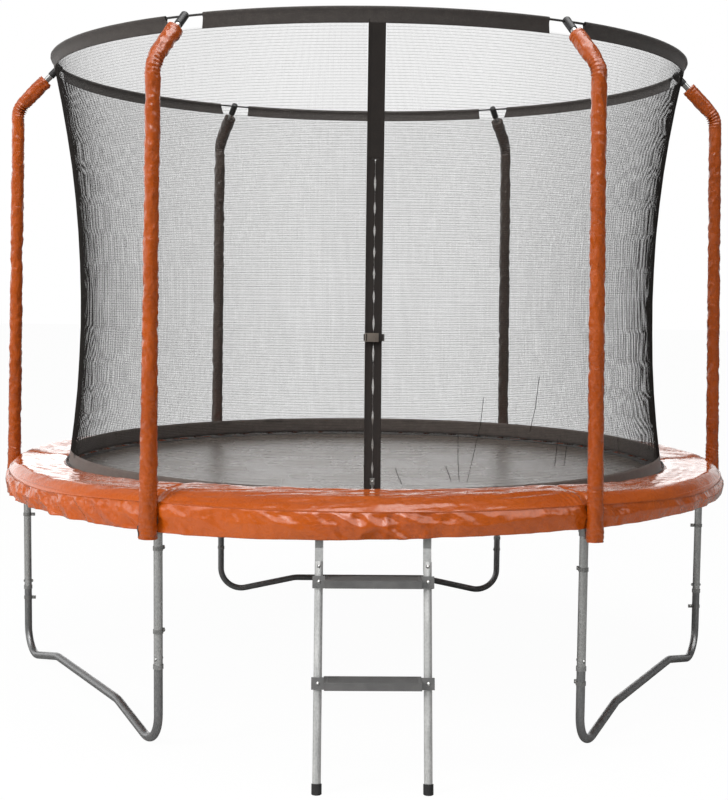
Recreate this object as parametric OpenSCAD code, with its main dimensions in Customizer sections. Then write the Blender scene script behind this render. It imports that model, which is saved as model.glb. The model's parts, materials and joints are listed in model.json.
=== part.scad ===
// Round garden trampoline: a tube frame on three W-shaped legs, a jumping mat on
// radial springs, a padded spring cover, six padded poles that carry a ring and a
// safety net with a zipped entrance, and a hook-on ladder.
// Millimetres, +Z up. The origin is on the ground under the middle of the mat, and
// the entrance and ladder face -Y.

/* [Frame] */
// Radius of the top rail's centre line
rail_circle_r = 1509; // [1350:1:1700]
// Height of the top rail's centre line above the ground
rail_z = 868; // [820:1:950]
// Outside diameter of the rail and leg tubes
tube_d = 32; // [30:0.5:34]
// Wall of the rail and leg tubes
tube_wall = 1.5; // [1.2:0.1:2.2]
// Wall of the T-sockets that join two rails and a leg
socket_wall = 3; // [2:0.25:3.5]
// Reach of a T-socket along the rail, to each side of its leg
socket_reach = 60; // [50:1:70]
// Drop of a T-socket below the rail's centre line
socket_drop = 88; // [82:1:95]

/* [Legs] */
// Height of the joint between a leg and its base
joint_z = 300; // [290:1:330]
// Centre-line radius of the bend that makes a foot
foot_bend_r = 110; // [90:1:125]
// Angle at which a base rises from its feet
foot_angle = 12; // [10:0.5:14]
// Rise of a base's middle above its feet
base_rise = 60; // [50:1:75]
// Centre-line radius of the bend at the top of the rise
crest_bend_r = 150; // [100:5:200]
// Length of the narrowed end that a base pushes into a leg
spigot_length = 60; // [45:1:80]
// Height of the band clamps high on the legs, before each one's own shift
clamp_high_z = 640; // [600:1:660]
// Height of the band clamps low on the legs, before each one's own shift
clamp_low_z = 240; // [215:1:250]
// Width of a band clamp
clamp_w = 14; // [10:1:16]

/* [Mat and springs] */
// Distance that a spring bridges, from its mat ring to the rail
spring_reach = 171; // [150:1:190]
// Outside diameter of a spring's coil
spring_coil_d = 22; // [18:0.5:26]
// Wire diameter of a spring
spring_wire_d = 4; // [3:0.1:4.4]
// Springs on each of the six rails
springs_per_rail = 10; // [7:1:12]
// Reach of a mat ring beyond the edge of the mat
mat_ring_reach = 22; // [19:0.5:26]
// Thickness of the woven mat
mat_thickness = 3; // [2:0.25:4]
// Width of the sewn border round the mat
hem_w = 45; // [30:1:60]
// Thickness of the sewn border round the mat
hem_thickness = 2; // [1:0.25:3]

/* [Spring pad] */
// Reach of the pad's outer rim beyond the rail's centre line
pad_overhang = 38; // [37:0.25:41]
// Gap between the mat's edge and the pad's inner rim
pad_inner_gap = 9; // [6:0.5:14]
// Height of the pad's crown above its underside
pad_height = 60; // [45:1:75]
// Height of the pad's rim creases above its underside
pad_crease_height = 17; // [12:0.5:22]
// Thickness of the pad's cover
pad_wall = 2.5; // [1.5:0.1:3.5]
// Length of the skirt that hangs from the pad's outer rim
skirt_drop = 118; // [100:1:125]
// Thickness of the skirt
skirt_thickness = 2; // [1:0.1:2.5]
// How far the skirt flares outwards on its way down
skirt_flare = 3; // [2:0.1:4]

/* [Enclosure poles] */
// Outside diameter of the enclosure poles
pole_d = 25; // [22:0.5:27]
// Wall of the enclosure poles
pole_wall = 1.5; // [1.2:0.1:2]
// Distance from the rail's centre line out to a pole's foot
pole_stand_off = 56; // [52:0.5:62]
// Inward lean of the straight part of a pole, in degrees
pole_lean = 1.2; // [0.6:0.1:1.8]
// Height at which the poles bend inwards
pole_bend_z = 2420; // [2300:5:2550]
// Angle of a pole's upper arm from upright, in degrees
pole_arm_angle = 45; // [40:1:50]
// Length of a pole's upper arm, from the bend to the ring
pole_arm = 252; // [235:1:270]
// Centre-line radius of a pole's bend
pole_bend_r = 90; // [80:1:110]
// Height of the lower end of a pole and its sleeve
sleeve_bottom_z = 768; // [762:0.5:772]
// Outside diameter of a padded pole sleeve
sleeve_d = 54; // [46:0.5:58]
// Thickness of a sleeve's cover
sleeve_wall = 1.5; // [1:0.1:2.5]
// Length of arm left bare between a sleeve and the ring
sleeve_stop = 78; // [66:1:95]
// Outside diameter of a pole's end cap
cap_d = 31; // [29:0.5:34]
// Length of the collar with which a cap holds its pole
cap_collar = 36; // [25:1:42]
// Diameter of the bolts that fix the poles
pole_bolt_d = 8; // [6:0.5:9]

/* [Ring and net] */
// Diameter of the ring's rods
rod_d = 8; // [6:0.5:9]
// Height at which the net is narrowest
waist_z = 1600; // [1500:5:1700]
// Distance from the mat's edge in to the net's waist
waist_inset = 56; // [40:1:75]
// Thickness of the net's solids
net_thickness = 2; // [1.5:0.1:2.5]
// Height of the net's upper band
top_band_h = 52; // [44:1:64]
// Height of the net's lower band
lower_band_h = 73; // [55:1:90]
// Gap between the mat's border and the lower band
net_foot_gap = 7; // [4:0.5:12]
// Bare length of rod to each side of a pole
band_gap = 55; // [45:1:70]

/* [Entrance] */
// Width of the zip strip
strip_w = 60; // [50:1:70]
// Width of the slit between the zip's two tapes
zip_slit = 3; // [2.5:0.1:4]
// Height of the top of the zip
zip_top_z = 2100; // [2000:5:2200]
// Height at which the zip's slider rests
slider_z = 966; // [960:1:1000]
// Height of the entrance buckle
buckle_z = 1475; // [1350:5:1600]
// Width of the buckle's webbing
webbing_w = 25; // [20:1:30]

/* [Ladder] */
// Lean of the ladder, in degrees
ladder_lean = 15; // [13:0.5:16]
// Outside diameter of the ladder's rails
ladder_tube_d = 28; // [25:0.5:30]
// Distance between the ladder's rails, centre to centre
ladder_spread = 366; // [340:2:400]
// Height of the lower step
step_low_z = 341; // [300:5:380]
// Height of the upper step
step_high_z = 663; // [620:1:670]
// Depth of a step, front to back
step_depth = 84; // [70:1:100]
// Thickness of a step's tread
step_thickness = 26; // [20:1:30]
// Thickness of the hooks' flat steel
hook_thickness = 3; // [2:0.1:3.1]
// Width of the hooks' flat steel
hook_w = 28; // [20:1:32]

/* [Hidden] */

$fn = 48;
side_count = 6;
side_angle = 360 / side_count;
// Clearance between pieces that slip over or lie on each other
fit = 0.3;
// Depth to which the stitching draws the hem into the mat
hem_bed = 0.4;
// Overshoot of a cutting shape past the face that it cuts
over = 1;
// Lap of a straight run into a bend, and the share of its radius by which a tube draws
// in where it is bent
lap = 1;
bend_draw = 0.012;
// Legs are counted from +X round to +Y: right, back right, back left, left,
// front left, front right
ENTRY_ANGLE = -90;

steel = [0.74, 0.74, 0.73];
zinc = [0.66, 0.66, 0.65];
orange_vinyl = [0.82, 0.33, 0.05];
black_plastic = [0.08, 0.08, 0.08];
dark_plastic = [0.30, 0.30, 0.30];
net_black = [0.16, 0.15, 0.14];
web_black = [0.12, 0.11, 0.10];
mat_grey = [0.22, 0.21, 0.21];
foam_white = [0.90, 0.90, 0.88];

tube_r = tube_d / 2;
tube_bore_r = tube_r - tube_wall;
socket_bore_r = tube_r + fit;
socket_r = socket_bore_r + socket_wall;
socket_pipe_r = socket_r - 0.5;
socket_foot_z = rail_z - socket_drop;
// A web parts the leg's bore in a T-socket from the rails' bore
socket_web = 2;
leg_bore_top_z = rail_z - socket_bore_r - socket_web;
leg_top_z = leg_bore_top_z - fit;

// Springs are spaced evenly between the ends of the T-sockets
spring_margin = 19;
first_spring_angle = (socket_reach + spring_margin) / rail_circle_r * 180 / PI;
spring_pitch = (side_angle - 2 * first_spring_angle) / (springs_per_rail - 1);
spring_wire_r = spring_wire_d / 2;
spring_hole_r = spring_wire_r + fit;
mat_ring_tip_r = rail_circle_r - tube_r - spring_reach;
mat_r = mat_ring_tip_r - mat_ring_reach;
mat_ring_thickness = 4;
mat_underside_z = rail_z + mat_ring_thickness / 2 + fit;
mat_top_z = mat_underside_z + mat_thickness;
border_top_z = mat_top_z + hem_thickness;

pad_bottom_z = rail_z + socket_r + fit;
pad_inner_r = mat_r + pad_inner_gap;
pad_outer_r = rail_circle_r + pad_overhang;
pad_crease_z = pad_bottom_z + pad_crease_height;
skirt_bottom_z = pad_crease_z - skirt_drop;

pole_r = pole_d / 2;
sleeve_r = sleeve_d / 2;
pole_foot_r = rail_circle_r + pole_stand_off;
pole_corner_r = pole_foot_r - (pole_bend_z - rail_z) * tan(pole_lean);
pole_turn = pole_arm_angle - pole_lean;
pole_tangent = pole_bend_r * tan(pole_turn / 2);
ring_r = pole_corner_r - pole_arm * sin(pole_arm_angle);
ring_z = pole_bend_z + pole_arm * cos(pole_arm_angle);
rod_r = rod_d / 2;
cap_head = 14;
cap_r = cap_d / 2;
// Each pole is held by two bolts through its T-socket
pole_bolt_r = pole_bolt_d / 2;
pole_bolt_high_z = rail_z - socket_r - 13;
pole_bolt_low_z = socket_foot_z + 14;
spacer_r = 10;

// The net's profile is one arc through its waist and the ring
waist_r = mat_r - waist_inset;
ring_out = ring_r - waist_r;
net_curve_r = ((ring_z - waist_z) ^ 2 + ring_out ^ 2) / (2 * ring_out);
net_foot_z = border_top_z + net_foot_gap;
lower_band_top_z = net_foot_z + lower_band_h;
band_pocket_r = rod_r + 2.2;
band_wall = 1.5;
band_top_z = ring_z + band_pocket_r + band_wall;
band_bottom_z = band_top_z - top_band_h;

tape_front = net_thickness / 2;
slider_gap = 0.4;
slider_plate = 2.6;
slider_w = 16;
slider_h = 24;
bail_out = 3.2;
// The buckle stands clear of the slider and its pull tab
buckle_back = tape_front + slider_gap + slider_plate + bail_out + 7;

// The rail crosses a flat hook at a slant, so the hook's arc is wider than the rail
hook_y = -sqrt(rail_circle_r ^ 2 - (ladder_spread / 2) ^ 2);
hook_skew = hook_w / 2 * (ladder_spread / 2) / -hook_y + 0.1;
hook_gap = 1.5 * fit;
hook_drop = (hook_skew ^ 2 - hook_gap ^ 2) / (2 * hook_gap) + 0.4;
hook_bore_r = tube_r + hook_gap + hook_drop;
hook_z = rail_z - hook_drop;
hook_mid_r = hook_bore_r + hook_thickness / 2;
hook_bend_r = 20;
hook_bend_z = skirt_bottom_z - 12;
ladder_tube_r = ladder_tube_d / 2;
ladder_tube_wall = 1.5;
// A point on a ladder rail's axis, beside the end of its hook's bend
ladder_ref_y = hook_y - hook_mid_r - hook_bend_r * (1 - cos(ladder_lean))
    - (ladder_tube_r + hook_thickness / 2 + fit) * cos(ladder_lean);
ladder_ref_z = hook_bend_z - hook_bend_r * sin(ladder_lean)
    + (ladder_tube_r + hook_thickness / 2 + fit) * sin(ladder_lean);
// Hooks lap this far down their rails, and the rails stop below the skirt
hook_lap = 80;
ladder_tube_drop = 44;

// Radius of the net's middle surface at a height
function net_r(z) = waist_r + net_curve_r - sqrt(net_curve_r ^ 2 - (z - waist_z) ^ 2);

// Outline of a strip of the net's profile between two heights
function net_section(z0, z1, thickness, steps) = concat(
    [for (i = [0 : steps]) let (z = z0 + (z1 - z0) * i / steps) [net_r(z) + thickness / 2, z]],
    [for (i = [steps : -1 : 0]) let (z = z0 + (z1 - z0) * i / steps) [net_r(z) - thickness / 2, z]]);

// Half the angle that a width spans at a radius
function half_angle(width, radius) = asin(width / 2 / radius);

// Height of the pad's top at a place across it, from -1 at its inner rim to 1
function crown(u, height) = height * (1 - pow(abs(u), u < 0 ? 8 : 3.5));

// A ladder rail's axis at a height
function ladder_y(z) = ladder_ref_y - (ladder_ref_z - z) * tan(ladder_lean);

module at_leg(k) {
    rotate([0, 0, side_angle * k]) children();
}

module at_each_leg() {
    for (k = [0 : side_count - 1]) at_leg(k) children();
}

// A bar, or its round hole, that runs along X from x0 to x1
module radial_rod(x0, x1, y, z, radius) {
    translate([x0, y, z]) rotate([0, 90, 0]) cylinder(r = radius, h = x1 - x0);
}

// A straight run of tube that laps into the bends at its start and end, with what
// follows at its end
module run(radius, length, start_lap, end_lap) {
    translate([0, 0, -start_lap]) cylinder(r = radius, h = start_lap + length + end_lap);
    translate([0, 0, length]) children();
}

// A bend towards +X, with what follows at its end. A tube draws in a little as it is
// bent, so a run ends in a clean edge where the bend begins
module bend(radius, bend_radius, angle) {
    translate([bend_radius, 0, 0]) rotate([90, 0, 0]) rotate([0, 0, 180 - angle])
        rotate_extrude(angle = angle, $fn = 120) translate([bend_radius, 0])
        circle(r = radius * (1 - bend_draw), $fn = 48);
    translate([bend_radius * (1 - cos(angle)), 0, bend_radius * sin(angle)])
        rotate([0, angle, 0]) children();
}

// ---- Top frame

module rail(k) {
    color(steel) difference() {
        rotate([0, 0, side_angle * k + rail_trim()])
            rotate_extrude(angle = side_angle - 2 * rail_trim(), $fn = 360)
            translate([rail_circle_r, rail_z]) difference() {
                circle(r = tube_r);
                circle(r = tube_bore_r);
            }
        for (i = [0 : springs_per_rail - 1])
            rotate([0, 0, side_angle * k + first_spring_angle + spring_pitch * i])
            radial_rod(rail_circle_r - tube_r - over, rail_circle_r, 0, rail_z, spring_hole_r);
    }
}

// Angle by which a rail stops short of its leg's centre
function rail_trim() = 14 / rail_circle_r * 180 / PI;

module t_sockets() {
    socket_angle = socket_reach / rail_circle_r * 180 / PI;
    color(zinc) at_each_leg() difference() {
        union() {
            rotate([0, 0, -socket_angle]) rotate_extrude(angle = 2 * socket_angle, $fn = 360)
                translate([rail_circle_r, rail_z]) circle(r = socket_r);
            translate([rail_circle_r, 0, socket_foot_z])
                cylinder(r = socket_pipe_r, h = socket_drop);
        }
        rotate([0, 0, -socket_angle - 1]) rotate_extrude(angle = 2 * socket_angle + 2, $fn = 360)
            translate([rail_circle_r, rail_z]) circle(r = socket_bore_r);
        translate([rail_circle_r, 0, socket_foot_z - over])
            cylinder(r = socket_bore_r, h = leg_bore_top_z - socket_foot_z + over);
        pole_bolt_holes();
    }
}

// ---- Legs

module leg_tubes() {
    color(steel) at_each_leg() difference() {
        translate([rail_circle_r, 0, joint_z]) difference() {
            cylinder(r = tube_r, h = leg_top_z - joint_z);
            translate([0, 0, -over]) cylinder(r = tube_bore_r, h = leg_top_z - joint_z + 2 * over);
        }
        pole_bolt_holes();
        leg_bolt_hole();
    }
}

base_drop = joint_z - tube_r - foot_bend_r;
base_climb = (base_rise - (foot_bend_r + crest_bend_r) * (1 - cos(foot_angle))) / sin(foot_angle);
base_reach = foot_bend_r * (1 + sin(foot_angle)) + base_climb * cos(foot_angle)
    + crest_bend_r * sin(foot_angle);

// One end of a leg base: from the joint down to a foot and up to the crest
module base_end(radius) {
    translate([0, 0, joint_z]) mirror([0, 0, 1])
        run(radius, base_drop, 0, lap) bend(radius, foot_bend_r, 90 + foot_angle)
        run(radius, base_climb, lap, lap)
        mirror([1, 0, 0]) bend(radius, crest_bend_r, foot_angle);
}

module base_path(radius) {
    base_end(radius);
    translate([rail_circle_r, 0, 0]) mirror([1, 0, 0]) base_end(radius);
    radial_rod(base_reach - lap, rail_circle_r - base_reach + lap, 0, tube_r + base_rise, radius);
}

// A base joins two neighbouring legs, whose distance equals the rail's radius
module leg_base(k) {
    spigot_r = tube_bore_r - fit;
    spigot_wall = 1.5;
    color(zinc) difference() {
        at_leg(k) translate([rail_circle_r, 0, 0]) rotate([0, 0, 120]) difference() {
            union() {
                base_path(tube_r);
                for (x = [0, rail_circle_r]) translate([x, 0, joint_z - over])
                    cylinder(r = spigot_r, h = spigot_length + over);
            }
            base_path(spigot_r - spigot_wall);
            for (x = [0, rail_circle_r]) translate([x, 0, joint_z - over])
                cylinder(r = (spigot_r - spigot_wall) * (1 - bend_draw), h = spigot_length + 2 * over);
        }
        at_leg(k) leg_bolt_hole();
        at_leg(k + 1) leg_bolt_hole();
    }
}

module joint_collars() {
    collar_h = 16;
    collar_wall = 2.2;
    color(zinc) at_each_leg() translate([rail_circle_r, 0, joint_z - collar_h / 2])
        difference() {
            cylinder(r = tube_r + fit + collar_wall, h = collar_h);
            translate([0, 0, -over]) cylinder(r = tube_r + fit, h = collar_h + 2 * over);
        }
}

leg_bolt_r = 3;
leg_bolt_z = joint_z + 28;

module leg_bolt_hole() {
    radial_rod(rail_circle_r - tube_r - over, rail_circle_r + tube_r + over, 0, leg_bolt_z,
        leg_bolt_r + fit);
}

// A bolt along X, with a domed head at its outer end and a hexagon nut at the other
module bolt(x0, x1, z, shank_r, head_r, head_h, nut_h) {
    radial_rod(x0 - nut_h - 2, x1 + head_h / 2, 0, z, shank_r);
    translate([x1, 0, z]) rotate([0, 90, 0]) rotate_extrude() intersection() {
        translate([0, head_h - dome_r(head_r, head_h)]) circle(r = dome_r(head_r, head_h), $fn = 96);
        square([head_r, head_h]);
    }
    translate([x0 - nut_h, 0, z]) rotate([0, 90, 0]) cylinder(r = head_r, h = nut_h, $fn = 6);
}

// Radius of the sphere whose cap has this base radius and height
function dome_r(base_r, height) = (base_r ^ 2 + height ^ 2) / (2 * height);

module leg_bolts() {
    color(zinc) at_each_leg() bolt(rail_circle_r - tube_r - fit, rail_circle_r + tube_r + fit,
        leg_bolt_z, leg_bolt_r, 6.5, 4, 5);
}

// Each clamp sits where its owner slid it, so the legs differ
clamp_high_shift = [-40, 0, 0, -10, 85, 19];
clamp_low_shift = [-11, 0, 0, 13, 187, 6];
clamp_wall = 2;
clamp_ear = 17;
clamp_ear_w = 8;

// Places its children at the foot of a clamp, facing the trampoline's middle
module at_each_clamp() {
    for (k = [0 : side_count - 1])
        for (z = [clamp_high_z + clamp_high_shift[k], clamp_low_z + clamp_low_shift[k]])
        at_leg(k) translate([rail_circle_r, 0, z - clamp_w / 2]) children();
}

module leg_clamps() {
    band_r = tube_r + fit + clamp_wall;
    color(dark_plastic) at_each_clamp() difference() {
        union() {
            cylinder(r = band_r, h = clamp_w);
            translate([-tube_r - fit - clamp_ear, -clamp_ear_w / 2, 0])
                cube([clamp_ear + tube_r, clamp_ear_w, clamp_w]);
        }
        translate([0, 0, -over]) cylinder(r = tube_r + fit, h = clamp_w + 2 * over);
        translate([-tube_r - clamp_ear * 0.55, 0, clamp_w / 2]) rotate([90, 0, 0])
            cylinder(r = 2.8, h = clamp_ear_w + 2 * over, center = true);
    }
}

module clamp_screws() {
    color(zinc) at_each_clamp() translate([-tube_r - clamp_ear * 0.55, 0, clamp_w / 2])
        rotate([0, 0, -90]) bolt(-clamp_ear_w / 2 - fit, clamp_ear_w / 2 + fit, 0, 2.5, 4.8, 3, 4);
}

// ---- Mat, rings and springs

// The stitching draws the hem a little way into the mat's edge, so the mat has a low rim
module mat() {
    flat_r = mat_r - hem_w - fit;
    color(mat_grey) translate([0, 0, mat_underside_z]) rotate_extrude($fn = 180)
        polygon([[0, 0], [mat_r, 0], [mat_r, mat_thickness - hem_bed],
            [flat_r, mat_thickness - hem_bed], [flat_r, mat_thickness], [0, mat_thickness]]);
}

module mat_border() {
    color(web_black) rotate_extrude($fn = 180)
        translate([mat_r - hem_w, mat_top_z - hem_bed]) square([hem_w, hem_thickness + hem_bed]);
}

module at_each_spring() {
    for (k = [0 : side_count - 1]) for (i = [0 : springs_per_rail - 1])
        rotate([0, 0, side_angle * k + first_spring_angle + spring_pitch * i]) children();
}

// A triangular wire ring, laid flat under the mat's edge
module mat_ring_outline(grow) {
    foot = mat_r - 12;
    half_w = 17;
    tip_half_w = 3.5;
    polygon([[foot - grow, half_w + 1.6 * grow], [foot - grow, -half_w - 1.6 * grow],
        [mat_ring_tip_r + grow, -tip_half_w - grow / 2],
        [mat_ring_tip_r + grow, tip_half_w + grow / 2]]);
}

module mat_rings() {
    wire = 4;
    color(zinc) at_each_spring() translate([0, 0, rail_z - mat_ring_thickness / 2])
        linear_extrude(mat_ring_thickness) difference() {
            mat_ring_outline(0);
            mat_ring_outline(-wire);
        }
}

module springs() {
    coil_r = spring_coil_d / 2;
    coil_start = mat_ring_tip_r + 10;
    coil_end = rail_circle_r - tube_r - 12;
    tip = rail_circle_r - tube_bore_r + 5;
    taper = coil_r - spring_wire_r;
    color(zinc) at_each_spring() translate([0, 0, rail_z]) rotate([0, 90, 0])
        rotate_extrude($fn = 24) polygon([[0, mat_ring_tip_r + fit],
            [spring_wire_r, mat_ring_tip_r + fit], [spring_wire_r, coil_start],
            [coil_r, coil_start + taper], [coil_r, coil_end - taper],
            [spring_wire_r, coil_end], [spring_wire_r, tip], [0, tip]]);
}

// ---- Spring pad

// Outline of the pad's body, drawn in by a wall's thickness
module pad_outline(wall) {
    middle = (pad_inner_r + pad_outer_r) / 2;
    half = (pad_outer_r - pad_inner_r) / 2 - wall;
    rise = pad_height - pad_crease_height - wall;
    steps = 20;
    // Steps crowd towards the rims, where the crown bends most
    polygon(concat([[middle - half + wall, pad_bottom_z + wall],
            [middle + half - 4 - wall, pad_bottom_z + wall]],
        [for (i = [0 : steps]) let (u = cos(180 * i / steps))
            [middle + half * u, pad_crease_z + crown(u, rise)]]));
}

module skirt_outline() {
    hem_h = 14;
    top = pad_crease_z + 1;
    polygon([[pad_outer_r, top], [pad_outer_r - skirt_thickness, top - 4],
        [pad_outer_r - skirt_thickness + skirt_flare, skirt_bottom_z + hem_h],
        [pad_outer_r - skirt_thickness + skirt_flare, skirt_bottom_z],
        [pad_outer_r + skirt_flare + 1, skirt_bottom_z],
        [pad_outer_r + skirt_flare + 1, skirt_bottom_z + hem_h],
        [pad_outer_r + 1.5, pad_crease_z - 8], [pad_outer_r + 3, pad_crease_z - 3]]);
}

// Room for the sleeves where they pass the pad's rim
module sleeve_notches(clearance) {
    at_each_leg() translate([pole_foot_r, 0, skirt_bottom_z - 10]) rotate([0, -pole_lean, 0])
        translate([0, 0, -20]) cylinder(r = sleeve_r + clearance, h = skirt_drop + pad_height + 60);
}

module pad_cover() {
    color(orange_vinyl) difference() {
        rotate_extrude($fn = 180) union() {
            difference() {
                pad_outline(0);
                pad_outline(pad_wall);
            }
            skirt_outline();
        }
        sleeve_notches(3);
    }
}

module pad_foam() {
    color(foam_white) difference() {
        rotate_extrude($fn = 180) pad_outline(pad_wall + fit);
        sleeve_notches(3 + pad_wall);
    }
}

module pad_cords() {
    cord_r = 1.4;
    color(black_plastic) at_each_leg() for (a = [20, 40]) rotate([0, 0, a])
        translate([rail_circle_r, 0, rail_z]) rotate([90, 0, 0])
        rotate_extrude() translate([tube_r + fit + cord_r, 0]) circle(r = cord_r, $fn = 16);
}

// ---- Enclosure poles

// The line that a pole and all round it follow, from a height up to an arm length
module pole_path(radius, from_z, arm_end) {
    foot_x = pole_foot_r - (from_z - rail_z) * tan(pole_lean);
    straight = (pole_bend_z - from_z) / cos(pole_lean) - pole_tangent;
    translate([foot_x, 0, from_z]) mirror([1, 0, 0]) rotate([0, pole_lean, 0])
        run(radius, straight, 0, lap) bend(radius, pole_bend_r, pole_turn)
        run(radius, arm_end - pole_tangent, lap, 0);
}

module pole(k) {
    color(steel) at_leg(k) difference() {
        pole_path(pole_r, sleeve_bottom_z + 4, pole_arm - cap_head);
        pole_path(pole_r - pole_wall, sleeve_bottom_z + 4 - over, pole_arm - cap_head + over);
        pole_bolt_holes();
    }
}

module sleeve(k) {
    color(orange_vinyl) at_leg(k) difference() {
        pole_path(sleeve_r, sleeve_bottom_z, pole_arm - sleeve_stop);
        pole_path(sleeve_r - sleeve_wall, sleeve_bottom_z - over, pole_arm - sleeve_stop + over);
        spacer_openings();
    }
}

module pole_foam() {
    color(foam_white) at_each_leg() difference() {
        pole_path(sleeve_r - sleeve_wall - fit, sleeve_bottom_z + 2, pole_arm - sleeve_stop - 3);
        pole_path(pole_r + fit, sleeve_bottom_z, pole_arm - sleeve_stop);
        spacer_openings();
        for (z = [pole_bolt_high_z, pole_bolt_low_z])
            radial_rod(pole_foot_r, pole_foot_r + pole_r + 9, 0, z, 10);
    }
}

module spacer_openings() {
    for (z = [pole_bolt_high_z, pole_bolt_low_z])
        radial_rod(rail_circle_r, pole_foot_r, 0, z, spacer_r + 1.5);
}

module pole_bolt_holes() {
    for (z = [pole_bolt_high_z, pole_bolt_low_z])
        radial_rod(rail_circle_r - socket_r - over, pole_foot_r + pole_r + 4 + over, 0, z,
            pole_bolt_r + fit);
}

// Saddle-ended plastic spacers between a T-socket and its pole
module pole_spacers() {
    color(black_plastic) at_each_leg() difference() {
        for (z = [pole_bolt_high_z, pole_bolt_low_z])
            radial_rod(rail_circle_r, pole_foot_r, 0, z, spacer_r);
        translate([rail_circle_r, 0, 0]) cylinder(r = socket_r + fit, h = rail_z);
        translate([pole_foot_r, 0, rail_z]) mirror([1, 0, 0]) rotate([0, pole_lean, 0])
            translate([0, 0, -socket_drop - 40]) cylinder(r = pole_r + fit, h = socket_drop + 40);
        pole_bolt_holes();
    }
}

module pole_bolts() {
    color(zinc) at_each_leg() for (z = [pole_bolt_high_z, pole_bolt_low_z])
        bolt(rail_circle_r - socket_r - fit, pole_foot_r + (rail_z - z) * tan(pole_lean)
            + pole_r + fit + 0.2, z, pole_bolt_r, 7, 4, 6);
}

// Moulded cap: a collar over the pole's end and a rounded head that holds the rod
module pole_caps() {
    head_top = rod_r + 9;
    color(black_plastic) at_each_leg() difference() {
        translate([ring_r, 0, ring_z]) rotate([0, -pole_arm_angle, 0]) rotate_extrude()
            polygon([[pole_r + fit, -cap_head + fit], [pole_r + fit, -cap_head - cap_collar],
                [cap_r - 1, -cap_head - cap_collar], [cap_r, -cap_head - cap_collar + 1],
                [cap_r, head_top - 6], [cap_r - 2, head_top - 2], [cap_r - 6, head_top],
                [0, head_top], [0, -cap_head + fit]]);
        translate([ring_r, 0, ring_z]) rotate([90, 0, 0])
            cylinder(r = rod_r + fit + 0.1, h = cap_d + 2 * over, center = true);
    }
}

// ---- Ring and net

module ring_rods() {
    rod_trim = 0.02;
    color(black_plastic) for (k = [0 : side_count - 1])
        rotate([0, 0, side_angle * (k + 0.5) + rod_trim])
        rotate_extrude(angle = side_angle - 2 * rod_trim, $fn = 360)
        translate([ring_r, ring_z]) circle(r = rod_r, $fn = 24);
}

// Steel sleeves that join the rods end to end, inside the net's upper band
module rod_ferrules() {
    ferrule_angle = 40 / ring_r * 180 / PI;
    color(zinc) for (k = [0 : side_count - 1])
        rotate([0, 0, side_angle * (k + 0.5) - ferrule_angle])
        rotate_extrude(angle = 2 * ferrule_angle, $fn = 360) translate([ring_r, ring_z])
        difference() {
            circle(r = rod_r + fit + 1, $fn = 24);
            circle(r = rod_r + fit, $fn = 24);
        }
}

module net_top_band() {
    band_trim = (cap_r + band_gap) / ring_r * 180 / PI;
    color(web_black) for (k = [0 : side_count - 1])
        rotate([0, 0, side_angle * k + band_trim])
        rotate_extrude(angle = side_angle - 2 * band_trim, $fn = 360) difference() {
            union() {
                translate([ring_r, ring_z]) circle(r = band_pocket_r + band_wall);
                polygon(net_section(band_bottom_z, ring_z, 2 * band_wall, 3));
            }
            translate([ring_r, ring_z]) circle(r = band_pocket_r);
        }
}

net_solid_count = 12;

// Panels of knitted net, parted by their seams and by the entrance strip
module net_panels() {
    seam = 0.4;
    entry_half = half_angle(strip_w + 2 * fit, waist_r);
    panel_angle = 360 / net_solid_count;
    color(net_black) for (k = [0 : net_solid_count - 1])
        let (from_entry = k == 0 ? entry_half : half_angle(seam, waist_r),
            to_entry = k == net_solid_count - 1 ? entry_half : half_angle(seam, waist_r))
        rotate([0, 0, ENTRY_ANGLE + panel_angle * k + from_entry])
        rotate_extrude(angle = panel_angle - from_entry - to_entry, $fn = 180)
        polygon(net_section(lower_band_top_z + fit, band_bottom_z - fit, net_thickness, 16));
}

module net_lower_band() {
    entry_half = half_angle(strip_w + 2 * fit, waist_r);
    color(web_black) rotate([0, 0, ENTRY_ANGLE + entry_half])
        rotate_extrude(angle = 360 - 2 * entry_half, $fn = 180)
        polygon(net_section(net_foot_z, lower_band_top_z, net_thickness, 2));
}

// ---- Entrance

// A strip that follows the net's arc at the entrance. It reaches from z0 to z1, from
// x0 to x1 across, and stands from front0 to front1 out of the net's middle surface
module entry_sweep(z0, z1, x0, x1, front0, front1) {
    a0 = asin((z0 - waist_z) / net_curve_r);
    a1 = asin((z1 - waist_z) / net_curve_r);
    translate([0, -waist_r - net_curve_r, waist_z]) rotate([0, 90, 0]) rotate([0, 0, 90 + a0])
        rotate_extrude(angle = a1 - a0, $fn = 360) translate([net_curve_r - front1, x0])
        square([front1 - front0, x1 - x0]);
}

// Places its children on the net's front at a height, with +Z along the zip and -Y out
module at_entry(z) {
    translate([0, -waist_r - net_curve_r, waist_z])
        rotate([asin((z - waist_z) / net_curve_r), 0, 0]) translate([0, net_curve_r, 0])
        children();
}

module entry_strip() {
    color(web_black) entry_sweep(zip_top_z + fit, band_bottom_z - fit, -strip_w / 2, strip_w / 2,
        -tape_front, tape_front);
}

// A tape is built in lengths butted end to end. Over one length the net's arc bows by less
// than the pull tab's distance from it, so each length's hull stays behind the tab
module zip_tape(side) {
    lengths = 6;
    seam = 0.4;
    inner = zip_slit / 2;
    x0 = side > 0 ? inner : -strip_w / 2;
    x1 = side > 0 ? strip_w / 2 : -inner;
    rise = (zip_top_z - net_foot_z) / lengths;
    color(web_black) for (k = [0 : lengths - 1])
        let (from_seam = k == 0 ? 0 : seam / 2, to_seam = k == lengths - 1 ? 0 : seam / 2)
        entry_sweep(net_foot_z + rise * k + from_seam, net_foot_z + rise * (k + 1) - to_seam,
            x0, x1, -tape_front, tape_front);
}

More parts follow.
